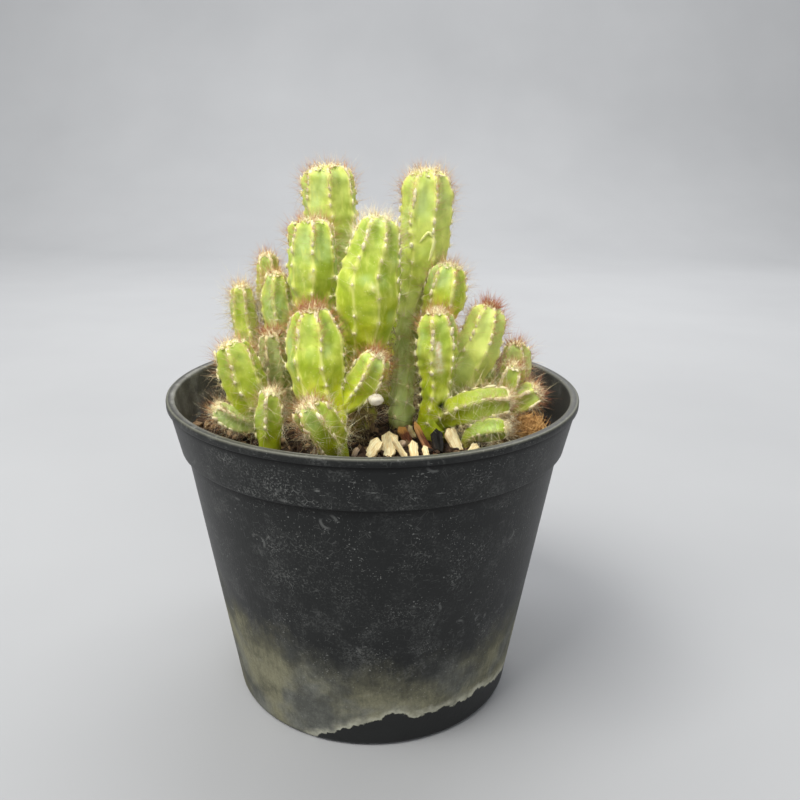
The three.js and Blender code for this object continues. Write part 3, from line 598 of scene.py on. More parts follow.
def wool_paint():
    """Areole wool: cream felt, pinkish in the redder crowns."""
    paint = Paint("areole_wool")
    cream = paint.blend(paint.noise(700).ramp(0.35, 0.68), (0.94, 0.90, 0.60), (0.88, 0.80, 0.42))
    colour = paint.blend(paint.read("tint") * 0.35, cream, (0.86, 0.58, 0.44))
    return paint.finish(colour, 0.92, 0.15, paint.bump(paint.noise(5200, 2), 0.00015, 0.5),
                        Sheen_Weight=0.2, Sheen_Roughness=0.5)


def soil_paint():
    """Damp potting mix: dark brown crumbs with peat black and rusty fibre tones."""
    paint = Paint("potting_mix")
    crumbs = paint.noise(520, 6, 0.7)
    dark = paint.blend(crumbs.ramp(0.38, 0.62), (0.012, 0.008, 0.006), (0.075, 0.042, 0.024))
    colour = paint.coats(dark, [
        (paint.noise(1300).ramp(0.56, 0.70) * 0.55, (0.17, 0.085, 0.04)),
        (paint.read("tan"), paint.blend(crumbs, (0.30, 0.17, 0.085), (0.58, 0.40, 0.22))),
    ])
    return paint.finish(colour, 0.88, 0.3, paint.bump(paint.noise(1500, 5, 0.7), 0.0008, 0.9))


def wood_paint(name, dark, pale, seam, top=None, rough=0.75):
    """Split wood or bark: grain along the piece, darker seams and edges, and stained patches. On the pale
    chips the darker sides and ends are painted shade.
    """
    paint = Paint(name)
    grain = paint.read("grain", "Vector")
    lines = paint.noise(1.6, 4, 0.6, (0.35, 3.2, 1.0), over=grain)
    colour = paint.blend(lines.ramp(0.34, 0.66), dark, pale)
    if top:
        colour = paint.blend((paint.read("upper") + lines * 0.4).ramp(0.75, 1.0), colour, top)
    colour = paint.coats(colour, [
        (paint.noise(1.0, stretch=(0.22, 4.0, 1.0), over=grain).ramp(0.60, 0.70) * 0.5, seam),
        (paint.noise(330).ramp(0.54, 0.74) * 0.4, seam),
        # The seam colour on the sides and ends: on the pale chips, painted shade
        (paint.read("edge") * 0.45, seam),
    ])
    return paint.finish(colour, rough, 0.3, paint.bump(lines, 0.0004, 0.8))


def perlite_paint():
    """Warm white expanded grain with small pits, painted darker inside as shade."""
    paint = Paint("perlite_grain")
    # Darker in the pits: painted shade
    pits = paint.dots(1500).ramp(0.05, 0.30)
    return paint.finish(paint.blend(pits, (0.74, 0.62, 0.44), (0.93, 0.85, 0.68)), 0.9, 0.5,
                        paint.bump(pits, 0.0003, 0.6), Subsurface_Weight=0.2,
                        Subsurface_Radius=(0.001, 0.001, 0.0008), Subsurface_Scale=1.0)


def fibre_paint(name, dark, pale, patches):
    """Dry plant fibre, from dark to pale by its tint, with stained patches."""
    paint = Paint(name)
    patch = paint.noise(900)
    colour = paint.blend(paint.read("tint"), dark, pale)
    return paint.finish(paint.blend(patch * 0.5, colour, patches), 0.8, 0.3,
                        paint.bump(patch, 0.0002, 0.6))


def pot_dust(paint, height, fine):
    """How dusty the pot is: smudges, flecks, dried drops, thin scuffs, and scratched patches where
    it has been handled."""
    smudges = paint.noise(150, 5, 0.7).ramp(0.47, 0.70) * paint.noise(40, 2).ramp(0.36, 0.58, 0.3, 1.0)
    threads = paint.dots(520, "DISTANCE_TO_EDGE").ramp(0.045, 0.012) * paint.noise(420).ramp(0.52, 0.64)
    rings = paint.dots(105)
    rings = rings.ramp(0.15, 0.19) - rings.ramp(0.21, 0.26)
    scuffs = paint.noise(260, 5, 0.75, (1.0, 1.0, 5.0)).ramp(0.62, 0.70)
    dust = smudges * fine.ramp(0.40, 0.66) * 0.18
    for marks, strength in [
            (threads, 0.10),
            (paint.read("scuffed") * threads.most(fine.ramp(0.50, 0.70)), 0.50),
            (paint.noise(2300, 2, 0.5).ramp(0.64, 0.71) * paint.noise(120).ramp(0.42, 0.6), 0.42),
            (paint.dots(420).ramp(0.12, 0.05) * paint.noise(160).ramp(0.47, 0.58), 0.34),
            (rings * paint.noise(240).ramp(0.52, 0.64), 0.20),
            (scuffs * height.ramp(66.0, 76.0, 0.25, 1.0), 0.34)]:
        dust = dust.most(marks * strength)
    return dust


def pot_paint():
    """Black pot plastic with dust, scuffs, a band of dried minerals above its base and painted shade."""
    paint = Paint("pot_plastic")
    height = paint.node("ShaderNodeSeparateXYZ", "Z", {0: paint.place}) * 1000.0
    outer = paint.read("outer")
    fine = paint.noise(1700, 4, 0.75)

    # The mineral band: sharp and jagged at its foot, fading out upward in fine streaks
    streaks = paint.noise(1100, 3, 0.65, (1.0, 1.0, 0.12))
    above = height + (paint.noise(260, 5, 0.65) - 0.5) * 6.0 - paint.read("band_foot")
    above_foot = above.ramp(0.0, 0.45)
    cloud = (paint.noise(120, 5, 0.65) - 0.5) * 20.0
    fade = paint.read("band_top") - height + cloud + (streaks - 0.5) * 5.0
    band = above_foot * fade.ramp(-8.0, 12.0) * streaks.ramp(0.30, 0.62, 0.84, 1.0)
    band = band * paint.noise(90, 6, 0.7).ramp(0.34, 0.62, 0.45, 1.0) * fine.ramp(0.3, 0.6, 0.8, 1.0)
    crust = above_foot * above.ramp(3.4, 0.2) * paint.noise(300, 4).ramp(0.3, 0.6, 0.35, 1.0)
    lime = paint.blend(paint.noise(55, 4).ramp(0.40, 0.60), (0.20, 0.205, 0.18), (0.27, 0.26, 0.17))

    dust = pot_dust(paint, height, fine) * outer * above.ramp(-0.3, 0.4)
    # Dust on the inner wall, with painted shade that leaves its right side darker
    inside = paint.read("inner_dust_and_shade") * fine.ramp(0.3, 0.6, 0.45, 1.0)
    mould = paint.noise(75, 4, 0.6).ramp(0.46, 0.66) * inside
    black = paint.blend(paint.noise(90), (0.0085, 0.0095, 0.0095), (0.017, 0.018, 0.018))
    colour = paint.coats(black, [
        (dust, (0.42, 0.43, 0.41)),
        (band * 0.92 * outer, lime),
        (crust * 0.8 * outer, (0.52, 0.515, 0.41)),
        (inside * 0.40, (0.20, 0.19, 0.17)),
        (mould * 0.5, (0.30, 0.30, 0.28)),
        (paint.read("worn") * fine.ramp(0.2, 0.6, 0.55, 1.0), (0.19, 0.19, 0.15)),
        # Painted shade: a near-black line under the lip and another under the collar's step
        (paint.read("painted_shade_lines"), (0.0008, 0.0008, 0.0008)),
    ])

    # Dull where it's dusty, glossy where it's clean
    rough = dust.most(band * outer).ramp(0.0, 0.5, 0.44, 0.85)
    relief = paint.bump(paint.noise(1900, stretch=(1.0, 1.0, 0.3)), 0.00015, 0.3)
    relief = paint.bump(paint.noise(45, 2), 0.0006, 0.3, under=relief)
    return paint.finish(colour, rough, 0.24, relief)


SKIN = skin_paint()
SPINE = spine_paint()
WOOL = wool_paint()
SOIL = soil_paint()
FIBRE = fibre_paint("plant_fibre", (0.26, 0.11, 0.03), (0.80, 0.52, 0.20), (0.50, 0.24, 0.07))
ROOTS = fibre_paint("dead_roots", (0.05, 0.032, 0.018), (0.62, 0.50, 0.26), (0.12, 0.07, 0.035))
POT = pot_paint()
PEBBLE = wood_paint("tan_pebble", (0.72, 0.50, 0.33), (0.95, 0.74, 0.54), (0.50, 0.32, 0.20))
CHIP_PAINTS = {
    "cream": wood_paint("pale_wood", (0.80, 0.61, 0.29), (1.0, 0.92, 0.60), (0.56, 0.32, 0.10)),
    "dark": wood_paint("red_bark", (0.07, 0.022, 0.012), (0.26, 0.085, 0.035), (0.50, 0.28, 0.12),
                       top=(0.66, 0.33, 0.09)),
    "black": wood_paint("charred_wood", (0.003, 0.003, 0.003), (0.012, 0.010, 0.009),
                        (0.06, 0.05, 0.04), rough=0.7),
}


# Paths and sections of the stems

def spline(points, count, centripetal):
    """A smooth curve through the points, sampled evenly between each two of them."""
    points = np.asarray(points, float)
    ends = np.vstack([2 * points[0] - points[1], points, 2 * points[-1] - points[-2]])
    along = np.linspace(0, len(points) - 1, count)
    span = np.minimum(along.astype(int), len(points) - 2)
    share = (along - span)[:, None]
    a, b, c, d = (ends[span + i] for i in range(4))
    gaps = [np.ones((count, 1))] * 3
    if centripetal:
        gaps = [np.sqrt(np.linalg.norm(q - p, axis=1))[:, None] for p, q in ((a, b), (b, c), (c, d))]
    leave = ((b - a) / gaps[0] - (c - a) / (gaps[0] + gaps[1]) + (c - b) / gaps[1]) * gaps[1]
    arrive = ((c - b) / gaps[1] - (d - b) / (gaps[1] + gaps[2]) + (d - c) / gaps[2]) * gaps[1]
    square = share ** 2
    cube = share ** 3
    return ((2 * cube - 3 * square + 1) * b + (cube - 2 * square + share) * leave
            + (3 * square - 2 * cube) * c + (cube - square) * arrive)


def outward_from(front, side, angle):
    """The direction at an angle from front toward side."""
    return front * np.cos(angle)[..., None] + side * np.sin(angle)[..., None]


class Column:
    """One ribbed column. Distances down it are measured from its crown, in millimetres."""

    def __init__(self, points, ribs, turn, crown_length):
        points = np.array(points, float)
        widest = points[:, 3].max()
        self.ribs = ribs
        self.turn = turn
        self.phase = 7 * turn
        self.rooted = points[0, 2] == FOOT_DEPTH
        self.path = spline(points[:, :3], PATH_POINTS, True)
        self.widths = spline(points[:, 3:], PATH_POINTS, False)
        steps = np.linalg.norm(np.diff(self.path, axis=0), axis=1)
        self.reach = np.concatenate([[0], np.cumsum(steps)])
        self.length = self.reach[-1]
        self.tangents = np.gradient(self.path, axis=0)
        self.crown = crown_length * points[-1, 3]
        self.in_front = points[-1, 1] < BACK_FROM_Y
        self.large = widest > LARGE_RADIUS
        share = LARGE_GAP_SHARE if self.large else THIN_GAP_SHARE
        self.areole_gap = np.clip(share * widest, *AREOLE_GAPS)

    def look_up(self, table, below):
        """Numbers that are kept along the path, at distances below the crown."""
        reach = self.length - below
        return np.stack([np.interp(reach, self.reach, numbers) for numbers in table.T], -1)

    def at(self, below):
        """Centre, direction, front, side and radius at distances below the crown."""
        along = unit(self.look_up(self.tangents, below))
        front = unit(FRONT - along * (along @ FRONT)[..., None])
        dome = np.clip(1 - below / self.crown, 0, 1)
        radius = self.look_up(self.widths, below)[..., 0]
        radius = radius * (1 - dome ** CROWN_POWER) ** (1 / CROWN_POWER)
        return self.look_up(self.path, below), along, front, np.cross(along, front), radius

    def sway(self, below):
        """The ribs don't run quite straight: how far they are turned at distances below the crown."""
        return 0.08 * np.sin(below / 5.5 + self.phase) + 0.05 * np.sin(below / 2.4 + 2 * self.phase)

    def ribbing(self, height):
        """How ribbed the column is: its buried foot is round."""
        if self.rooted:
            return smoothstep(height, FOOT_ROUND_UP_TO - 3, FOOT_ROUND_UP_TO + 6)
        return np.ones_like(height)

    def on_crown(self, count, widest):
        """Random places on the crown, the stem's direction there, and outward from its middle."""
        share = widest * np.sqrt(random.uniform(0, 1, count))
        below = self.crown * (1 - (1 - share ** CROWN_POWER) ** (1 / CROWN_POWER))
        centre, along, front, side, radius = self.at(below)
        outward = outward_from(front, side, random.uniform(0, 2 * math.pi, count))
        return centre + outward * radius[:, None], along, outward

    def areoles(self):
        """Distance below the crown, angle and size of each areole, closest near the crown."""
        found = []
        last = self.length - (FOOT_ROUND_UP_TO - FOOT_DEPTH if self.rooted else 3.5)
        for rib in range(self.ribs):
            below = (0.12 if rib % 2 else 0.36) * self.crown
            while below < last:
                size = random.uniform(0.65, 1.25)
                angle = self.turn + 2 * math.pi * rib / self.ribs + self.sway(below)
                found.append((below, angle, size))
                gap = mix(1.3, self.areole_gap, smoothstep(below, 0.6 * self.crown, 5 * self.crown))
                below += gap * random.uniform(0.7, 1.3)
        return np.array(found)


def areole_share(radius):
    """How much of their full rise areoles have on a column of that radius."""
    return np.clip(radius / 3.6, 0.35, 1)


def column_skin(column, areoles, seed, look):
    """Points, faces and painted values of a column's skin."""
    step, per_rib = FRONT_SKIN if column.in_front else BACK_SKIN
    sides = per_rib * column.ribs
    dome = column.crown * (1 - np.cos(np.linspace(0.06, 0.5, 9) * math.pi))
    below = np.concatenate([dome, np.arange(column.crown + step, column.length, step),
                            [column.length]])
    centre, _, front, side, radius = column.at(below)
    angle = full_turn(sides)
    turned = angle + column.turn + column.sway(below)[:, None]

    # Nearly flat faces between the crests, and narrow grooves between the ribs of the crown
    across = np.abs(np.sin(column.ribs * angle / 2))[None]
    flat = (np.sqrt(across ** 2 + 0.02) - 0.141) / 0.869
    ribbing = column.ribbing(centre[:, 2])[:, None]
    facet = 0.8 * (1 - math.cos(math.pi / column.ribs)) * ribbing
    young = (1 - smoothstep(below, 0.8 * column.crown, 3.2 * column.crown))[:, None]
    # The grooves between the crown's ribs, which also get painted shade
    groove = across ** 7 * young * ribbing * np.clip(radius / 5, 0, 1)[:, None] ** 2
    reach = radius[:, None] * (1 - facet * flat - GROOVE_DEPTH * groove)
    raised = np.zeros_like(reach)
    for spot, aim, size in areoles:
        away = (below[:, None] - spot) / AREOLE_SPREAD
        arc = np.angle(np.exp(1j * (turned - aim))) * np.maximum(radius, 0.5)[:, None]
        raised += size * np.exp(-(away ** 2) - (arc / AREOLE_SPREAD) ** 2)
    reach = reach + AREOLE_RISE * np.clip(raised, 0, 1.3) * areole_share(radius)[:, None]
    outward = outward_from(front[:, None], side[:, None], turned)
    points = (centre[:, None] + outward * reach[..., None]).reshape(-1, 3)
    uneven = 0.26 * ripple(points, 6.0, seed) + 0.13 * ripple(points, 2.2, seed + 1)
    uneven *= np.repeat(np.clip(radius / 4, 0, 1), sides)
    points += outward.reshape(-1, 3) * uneven[:, None]
    points = np.vstack([points, column.path[-1], column.path[0]])
    # Where the skin gets painted highlights: the rib crests and the areole bumps
    crest = (1 - flat) * ribbing * np.clip(radius / 3, 0, 1)[:, None]
    values = {
        "crest": np.append(np.clip(crest + 0.5 * raised, 0, 1), [0.5, 0]),
        "groove": np.append(groove, [0, 0]),
        "height": np.append(np.repeat(1 - below / column.length, sides), [1, 0]),
        "old": np.full(len(points), float(look["old"])),
        "tone": np.full(len(points), float(look["tone"])),
    }
    return points, closed_faces(len(below), sides), values


def line_distance(spots, line):
    """Distance of flat points from a line of points."""
    line = np.array(line, float)
    nearest = np.full(len(spots), np.inf)
    for start, end in zip(line[:-1], line[1:]):
        along = end - start
        share = np.clip((spots - start) @ along / (along @ along), 0, 1)
        nearest = np.minimum(nearest, np.linalg.norm(spots - start - share[:, None] * along, axis=1))
    return nearest


def mark_skin(name, points, values):
    """Adds the brown foot, the grey lower stem, the front marks, and painted shade near the soil."""
    height = points[:, 2]
    patchy = ripple(points, 3.0, 91)
    foot = 0.5 * (1 - smoothstep(height, *BROWN_FOOT))
    bark = np.clip(foot + 0.25 * patchy * (foot > 0.02), 0, 1)
    cork = np.zeros(len(points))
    black = np.zeros(len(points))
    old = values["old"]
    if name == "stem_tall_right":
        old = np.maximum(old, 0.75 * (1 - smoothstep(height, *GREY_TRUNK)) * (points[:, 0] < 13))
    if name == "stem_centre":
        bark = np.maximum(bark, (0.75 + 0.25 * patchy) * (1 - smoothstep(height, *CENTRE_FOOT)))
    middle = np.median(points[:, 1])
    for mark in MARKS.get(name, []):
        away = line_distance(points[:, [0, 2]], mark["line"]) / mark["width"]
        near = np.exp(-away ** 2) * (points[:, 1] < middle)
        points[:, 1] -= mark["rise"] * near
        cork = np.maximum(cork, mark.get("cork", 0) * np.clip(1.4 * near, 0, 1))
        black = np.maximum(black, mark.get("black", 0) * np.clip(1.6 * near, 0, 1))
    values["old"] = np.clip(old + 0.08 * ripple(points, 6.0, 77), 0, 1)
    values["cork"] = cork
    values["bark"] = np.clip(bark, 0, 1)
    values["black"] = black
    # Painted shade: a deeper green low on the stems, next to the soil
    soil_shade_share = 1 - smoothstep(height + 1.5 * patchy, *SOIL_SHADE_HEIGHTS)
    values["ground"] = soil_shade_share * (1 - values["old"])


def skin_welt(skin, values):
    """A rounded cream welt over the front of a stem's skin."""
    rows = 40
    sides = 8
    path = spline([(x, 0, z) for x, z in WELT_LINE], rows, True)
    front = skin[skin[:, 1] < np.median(skin[:, 1])]
    for spot in path:
        away = np.hypot(front[:, 0] - spot[0], front[:, 2] - spot[2])
        spot[1] = np.average(front[:, 1], weights=np.exp(-(away / 0.6) ** 2) + 1e-12)
    along = unit(np.gradient(path, axis=0))
    first = unit(np.cross(along, FRONT))
    share = np.linspace(0, 1, rows)
    reach = WELT_WIDTH * np.sqrt(np.clip(5 * share * (1 - share), 0.02, 1))
    around = circles(first, np.cross(first, along), sides)
    points = (path[:, None] + around * reach[:, None, None]).reshape(-1, 3)
    points += 0.05 * ripple(points, 0.9, 31)[:, None]
    points = np.vstack([points, path[:1], path[-1:]])
    painted = {key: np.zeros(len(points)) for key in values}
    painted["tone"] += 1
    painted["cork"] += 0.2
    return points, closed_faces(rows, sides), painted


# Wool, spines and hairs

def areole_frames(column, areoles):
    """Where each areole sits, and its outward, upward and sideways directions."""
    below, angle, size = areoles.T
    centre, along, front, side, radius = column.at(below)
    outward = outward_from(front, side, angle)
    # On the dome the skin faces partly along the stem
    tilt = np.clip(1 - below / column.crown, 0, 1)[:, None]
    normal = unit(outward * np.sqrt(1 - 0.9 * tilt ** 2) + along * tilt * 0.95)
    spot = centre + outward * (radius + AREOLE_RISE * areole_share(radius) * size * 0.8)[:, None]
    across = unit(np.cross(along, normal))
    return spot, normal, np.cross(normal, across), across


def needle_mesh(base, aim, length, width, bend, tint, segments=2):
    """Three-sided tapered needles that start at base, run along aim and curve by bend."""
    sides = 3
    count = len(base)
    share = np.linspace(0, 1, segments + 1)
    helper = np.where(np.abs(aim[:, 2:3]) < 0.9, [[0, 0, 1.0]], [[1.0, 0, 0]])
    first = unit(np.cross(aim, helper))
    reach = length[:, None] * share
    core = base[:, None] + aim[:, None] * reach[..., None] + bend[:, None] * (reach * share)[..., None]
    thick = np.broadcast_to(width, count)[:, None] * (1 - share[:-1]) ** 0.6
    around = circles(first, np.cross(aim, first), sides)
    rings = core[:, :-1, None] + around[:, None] * thick[..., None, None]
    size = segments * sides + 1
    points = np.concatenate([rings.reshape(count, size - 1, 3), core[:, -1:]], 1)
    faces = [copies(fan(size - 1, size - 1 - sides + np.arange(sides)), size, count)]
    if segments > 1:
        faces.append(copies(grid_faces(segments, sides)[:, ::-1], size, count))
    tip = np.append(np.repeat(share[:-1], sides), 1.0)
    return points.reshape(-1, 3), faces, {"tint": np.repeat(tint, size), "tip": np.tile(tip, count)}


def inner_radius(height):
    """Inside of the pot's wall at a height."""
    height = np.minimum(height, POT_HEIGHT)
    collar = mix(COLLAR_RADIUS, COLLAR_TOP_RADIUS,
                 (height - COLLAR_BOTTOM) / (POT_HEIGHT - COLLAR_BOTTOM))
    body = mix(BASE_RADIUS, NECK_RADIUS, height / COLLAR_BOTTOM)
    return np.where(height > COLLAR_BOTTOM, collar, body) - WALL


def soil_height(x, y):
    """Top of the soil, without its fine relief."""
    reach = np.hypot(x, y) / inner_radius(SOIL_LEVEL)
    mound = SOIL_MOUND * np.maximum(0, 1 - reach * reach)
    wave = np.sin(0.43 * x + 1.3) * np.cos(0.39 * y - 0.4) + 0.6 * np.sin(0.9 * x - 0.7 * y)
    return SOIL_LEVEL + mound + SOIL_LUMP * wave


def fit_in_pot(base, aim, length):
    """Shortens needles that would reach the pot's wall or rim, or the soil."""
    for _ in range(7):
        tip = base + aim * length[:, None]
        wide = np.hypot(tip[:, 0], tip[:, 1]) > inner_radius(tip[:, 2]) - 1.0
        under = tip[:, 2] < soil_height(tip[:, 0], tip[:, 1]) + 0.3
        length = np.where(wide | under, length * 0.65, length)
    return length


def grow(frames, number, lean, length, width, tint=None, curl=0, lift=0, segments=1):
    """Needles out of each areole: how many, the least and most that they lean away from its outward
    line, the least and most length, width, and how red-brown (None: pale, with a few darker)."""
    count = len(frames[0])
    pick = np.repeat(np.arange(count), np.round(np.broadcast_to(number, count)).astype(int))
    total = len(pick)
    spot, normal, upward, across = (part[pick] for part in frames)
    lean = random.uniform(*lean, total)
    length = random.uniform(*length, total)
    if tint is None:
        tint = 0.5 * random.uniform(0, 1, total) ** 2
    else:
        tint = np.broadcast_to(tint, count)[pick]
    aim = outward_from(normal, outward_from(upward, across, random.uniform(0, 2 * math.pi, total)), lean)
    aim = unit(aim + upward * np.broadcast_to(lift, count)[pick][:, None])
    base = spot + random.normal(0, 0.18, (total, 3)) - normal * 0.25
    bend = random.normal(0, curl, (total, 3))
    tint = np.clip(tint + random.normal(0, 0.14, total), 0, 1)
    return needle_mesh(base, aim, fit_in_pot(base, aim, length), width, bend, tint, segments)


def column_spines(column, areoles, look):
    """Spines from each areole, pale hairs on the lower stem, and a tuft on the crown."""
    frames = areole_frames(column, areoles)
    below = areoles[:, 0]
    rust = look["rust"]
    crown = 1 - smoothstep(below, 0.9 * column.crown, 3.2 * column.crown)
    hazy = 1 - smoothstep(below, 1.2 * column.crown, 6 * column.crown)
    low = 1 - smoothstep(frames[0][:, 2], look["fuzz"] - 18, look["fuzz"])
    busy = mix(look["spiny"], 1, crown) * (1 if column.in_front else 0.6)
    busy = busy * (1 if column.large else 0.75)
    made = [
        # Short pale spines, spread out flat round each areole
        grow(frames, mix(8, 9, crown) * busy, (0.8, 1.45), (0.9, 2.8), 0.030,
             0.04 + 0.35 * rust * crown, lift=0.1),
        # Longer ones that stand out, red-brown at the crown
        grow(frames, mix(2.2, 8, crown) * busy * random.uniform(0.5, 1.4, len(areoles)), (0.1, 1.0),
             (1.8, 4.6), 0.036, 0.20 + 0.3 * look["old"] + 0.8 * rust * crown, lift=0.15 + 0.6 * crown),
        # A fine haze of long thin hairs over the crown
        grow(frames, 8 * hazy, (0.2, 1.4), (2.6, 6.4), 0.022, 0.10 + 0.7 * rust, 0.10, 0.35, 2),
        # Long pale hairs that cross each other on the lower stem
        grow(frames, 5 * low * look["hairy"], (0.5, 1.45), (2.2, 6.5), 0.03, None, 0.28, 0.1, 3),
    ]

    # The crown's own tuft
    total = look["tuft"]
    base, along, outward = column.on_crown(total, look["cap"])
    aim = unit(along + outward * random.uniform(0.0, 1.4, total)[:, None]
               + random.normal(0, 0.2, (total, 3)))
    length = random.uniform(1.4, 5.0, total)
    thick = (0.03 + 0.016 * smoothstep(rust, 0.7, 0.95)) * random.uniform(0.7, 1.2, total)
    made.append(needle_mesh(base - along * 0.2, aim, length, thick, random.normal(0, 0.1, (total, 3)),
                            np.clip(rust + random.normal(0, 0.2, total), 0, 1)))
    return joined(made)


def felt_lumps(base, normal, upward, across, size, tall, ball_mesh, tint):
    """Uneven cushions of felt, size wide and tall times as long up the stem."""
    ball, faces = ball_mesh
    count = len(base)
    shaped = ball * (1 + 0.25 * random.normal(0, 1, (count, len(ball))))[..., None]
    long, wide, thick = (shaped[..., i, None] for i in range(3))
    size = size[:, None, None]
    points = (base[:, None] + normal[:, None] * (thick * (size * 0.6))
              + upward[:, None] * (long * (size * tall[:, None, None])) - across[:, None] * (wide * size))
    values = {"tint": np.repeat(tint, len(ball)), "tip": np.zeros(count * len(ball))}
    return points.reshape(-1, 3), [copies(faces, len(ball), count)], values


def column_wool(column, areoles, look):
    """A felt cushion at each areole, with short stray hairs, and a woolly crown."""
    frames = areole_frames(column, areoles)
    spot, normal, upward, across = frames
    below = areoles[:, 0]
    count = len(areoles)
    crown = 1 - smoothstep(below, 0.9 * column.crown, 3.4 * column.crown)
    drawn = 1 - smoothstep(below, 2.0 * column.crown, 7.0 * column.crown)
    size = mix(0.31, 0.40, crown) * areoles[:, 2] * (0.85 + 0.1 * look["woolly"])
    size = size * (1 if column.large else 1.2)
    tall = random.uniform(1.0, 1.7, count) * mix(1, 1.6, drawn)
    tint = np.clip(0.35 * look["rust"] * crown + random.normal(0, 0.1, count), 0, 1)
    ball = BALL_42 if column.in_front and column.large else BALL_12
    pads = felt_lumps(spot - normal * 0.08, normal, upward, across, size, tall, ball, tint)
    strays = grow(frames, 6, (0.2, 1.5), (0.4, 1.2), 0.045, 0.5 * tint)

    # Lumps of felt and dense wool over the growing point
    total = int(34 * look["woolly"])
    base, along, outward = column.on_crown(total, look["cap"])
    cap = felt_lumps(base, along, outward, np.cross(along, outward), random.uniform(0.22, 0.48, total),
                     random.uniform(1.0, 2.0, total), BALL_12,
                     np.clip(random.normal(0.3 * look["rust"], 0.2, total), 0, 1))
    total = int(95 * look["woolly"])
    base, along, outward = column.on_crown(total, look["cap"])
    aim = unit(along + outward * random.uniform(0.0, 1.0, total)[:, None]
               + random.normal(0, 0.3, (total, 3)))
    tuft = needle_mesh(base - along * 0.2, aim, random.uniform(0.5, 1.7, total),
                       random.uniform(0.05, 0.10, total), random.normal(0, 0.35, (total, 3)),
                       np.clip(random.normal(0.3 * look["rust"], 0.25, total), 0, 1))
    return joined([pads, strays, cap, tuft])


def column_look(look, index):
    """The look of one column of a stem."""
    own = {key: look[key][index] if key in look else plain for key, plain in PLAIN_LOOK.items()}
    return dict(own, rust=look["rust"], fuzz=look.get("fuzz", PLAIN_FUZZ))


def make_stem(name, look, order):
    """One stem: its skin, its wool and its spines."""
    slot = "stem_old" if name == "stem_grey_left" else "stem_green"
    crown_length = BLUNT_CROWN_LENGTH if look.get("blunt") else CROWN_LENGTH
    skins = []
    spines = []
    wools = []
    for index, points in enumerate(look["columns"]):
        ribs = look["ribs"] if index == 0 else max(5, look["ribs"] - 1)
        column = Column(points, ribs, look.get("turn", STEM_TURN * order) + SIDE_TURN * index, crown_length)
        areoles = column.areoles()
        own = column_look(look, index)
        skins.append(column_skin(column, areoles, 10 * order + 3 * index, own))
        spines.append(column_spines(column, areoles, own))
        wools.append(column_wool(column, areoles, own))
    skin = joined(skins)
    mark_skin(name, skin[0], skin[2])
    if name == WELT_STEM:
        skin = joined([skin, skin_welt(skin[0], skin[2])])
    for part, mesh, paint, nodes in [("_skin", skin, SKIN, [name]), ("_wool", joined(wools), WOOL, []),
                                     ("_spines", joined(spines), SPINE, [])]:
        points, faces, values = mesh
        add_piece(name + part, points, faces, paint, replaces=nodes, values=values)


# Soil

def make_soil():
    """The potting mix: a mounded, lumpy top and a plain side and underside inside the pot."""
    rings = 80
    sides = 230
    edge_height = SOIL_LEVEL - 1.2
    angle = full_turn(sides)
    reach = (inner_radius(edge_height) - GAP) * np.linspace(0.004, 1, rings)
    x = np.outer(reach, np.cos(angle))
    y = np.outer(reach, np.sin(angle))
    top = np.stack([x, y, soil_height(x, y)], -1).reshape(-1, 3)
    flat = top * [1, 1, 0]
    top[:, 2] += 0.42 * ripple(flat, 3.2, 5) + 0.3 * ripple(flat, 1.3, 6) + 0.2 * ripple(flat, 0.8, 7)
    share = np.repeat(np.linspace(0, 1, rings), sides)
    top[:, 2] -= smoothstep(share, 0.93, 1.0)
    # The edge stays above the ledge in the pot's wall, and the side follows that wall down
    top[:, 2] = np.where(share > 0.97, np.maximum(top[:, 2], COLLAR_BOTTOM + 1), top[:, 2])
    rows = [top]
    for height in (COLLAR_BOTTOM - WALL, WALL + GAP):
        wide = inner_radius(height) - GAP
        rows.append(np.stack([wide * np.cos(angle), wide * np.sin(angle), np.full(sides, height)], -1))
    points = np.vstack(rows + [[[0, 0, top[0, 2]]], [[0, 0, WALL + GAP]]])
    tan = np.clip(1.8 * ripple(points, 6.0, 8) - 1.2, 0, 0.5)
    add_piece("soil_body", points, closed_faces(rings + len(rows) - 1, sides), SOIL,
              replaces=["soil"], values={"tan": tan})


def make_crumbs():
    """Loose crumbs of bark and peat on the soil."""
    ball, ball_faces = BALL_12
    count = 1700
    furthest = 48.5
    reach = furthest * np.sqrt(random.uniform(0, 1, count))
    angle = random.uniform(0, 2 * math.pi, count)
    x = reach * np.cos(angle)
    y = reach * np.sin(angle)
    size = 0.4 + 1.2 * random.uniform(0, 1, count) ** 3
    tan = np.where(random.uniform(0, 1, count) < 0.32, random.uniform(0.3, 1, count), 0)
    few = len(LARGE_CRUMBS)
    x[:few], y[:few], size[:few] = np.transpose(LARGE_CRUMBS)
    tan[:few] = 1.4
    lump = 1 + 0.25 * random.normal(0, 1, (count, len(ball)))
    shaped = ball * lump[..., None] * random.uniform(0.5, 1.3, (count, 1, 3))
    spin = random.uniform(0, 2 * math.pi, count)[:, None]
    turned_x = shaped[..., 0] * np.cos(spin) - shaped[..., 1] * np.sin(spin)
    turned_y = shaped[..., 0] * np.sin(spin) + shaped[..., 1] * np.cos(spin)
    points = np.stack([turned_x, turned_y, shaped[..., 2]], -1) * size[:, None, None]
    points += np.stack([x, y, soil_height(x, y) + 0.35 * size], -1)[:, None]
    add_piece("soil_crumbs", points.reshape(-1, 3), [copies(ball_faces, len(ball), count)], SOIL,
              values={"tan": np.repeat(tan, len(ball))}, smooth=False)


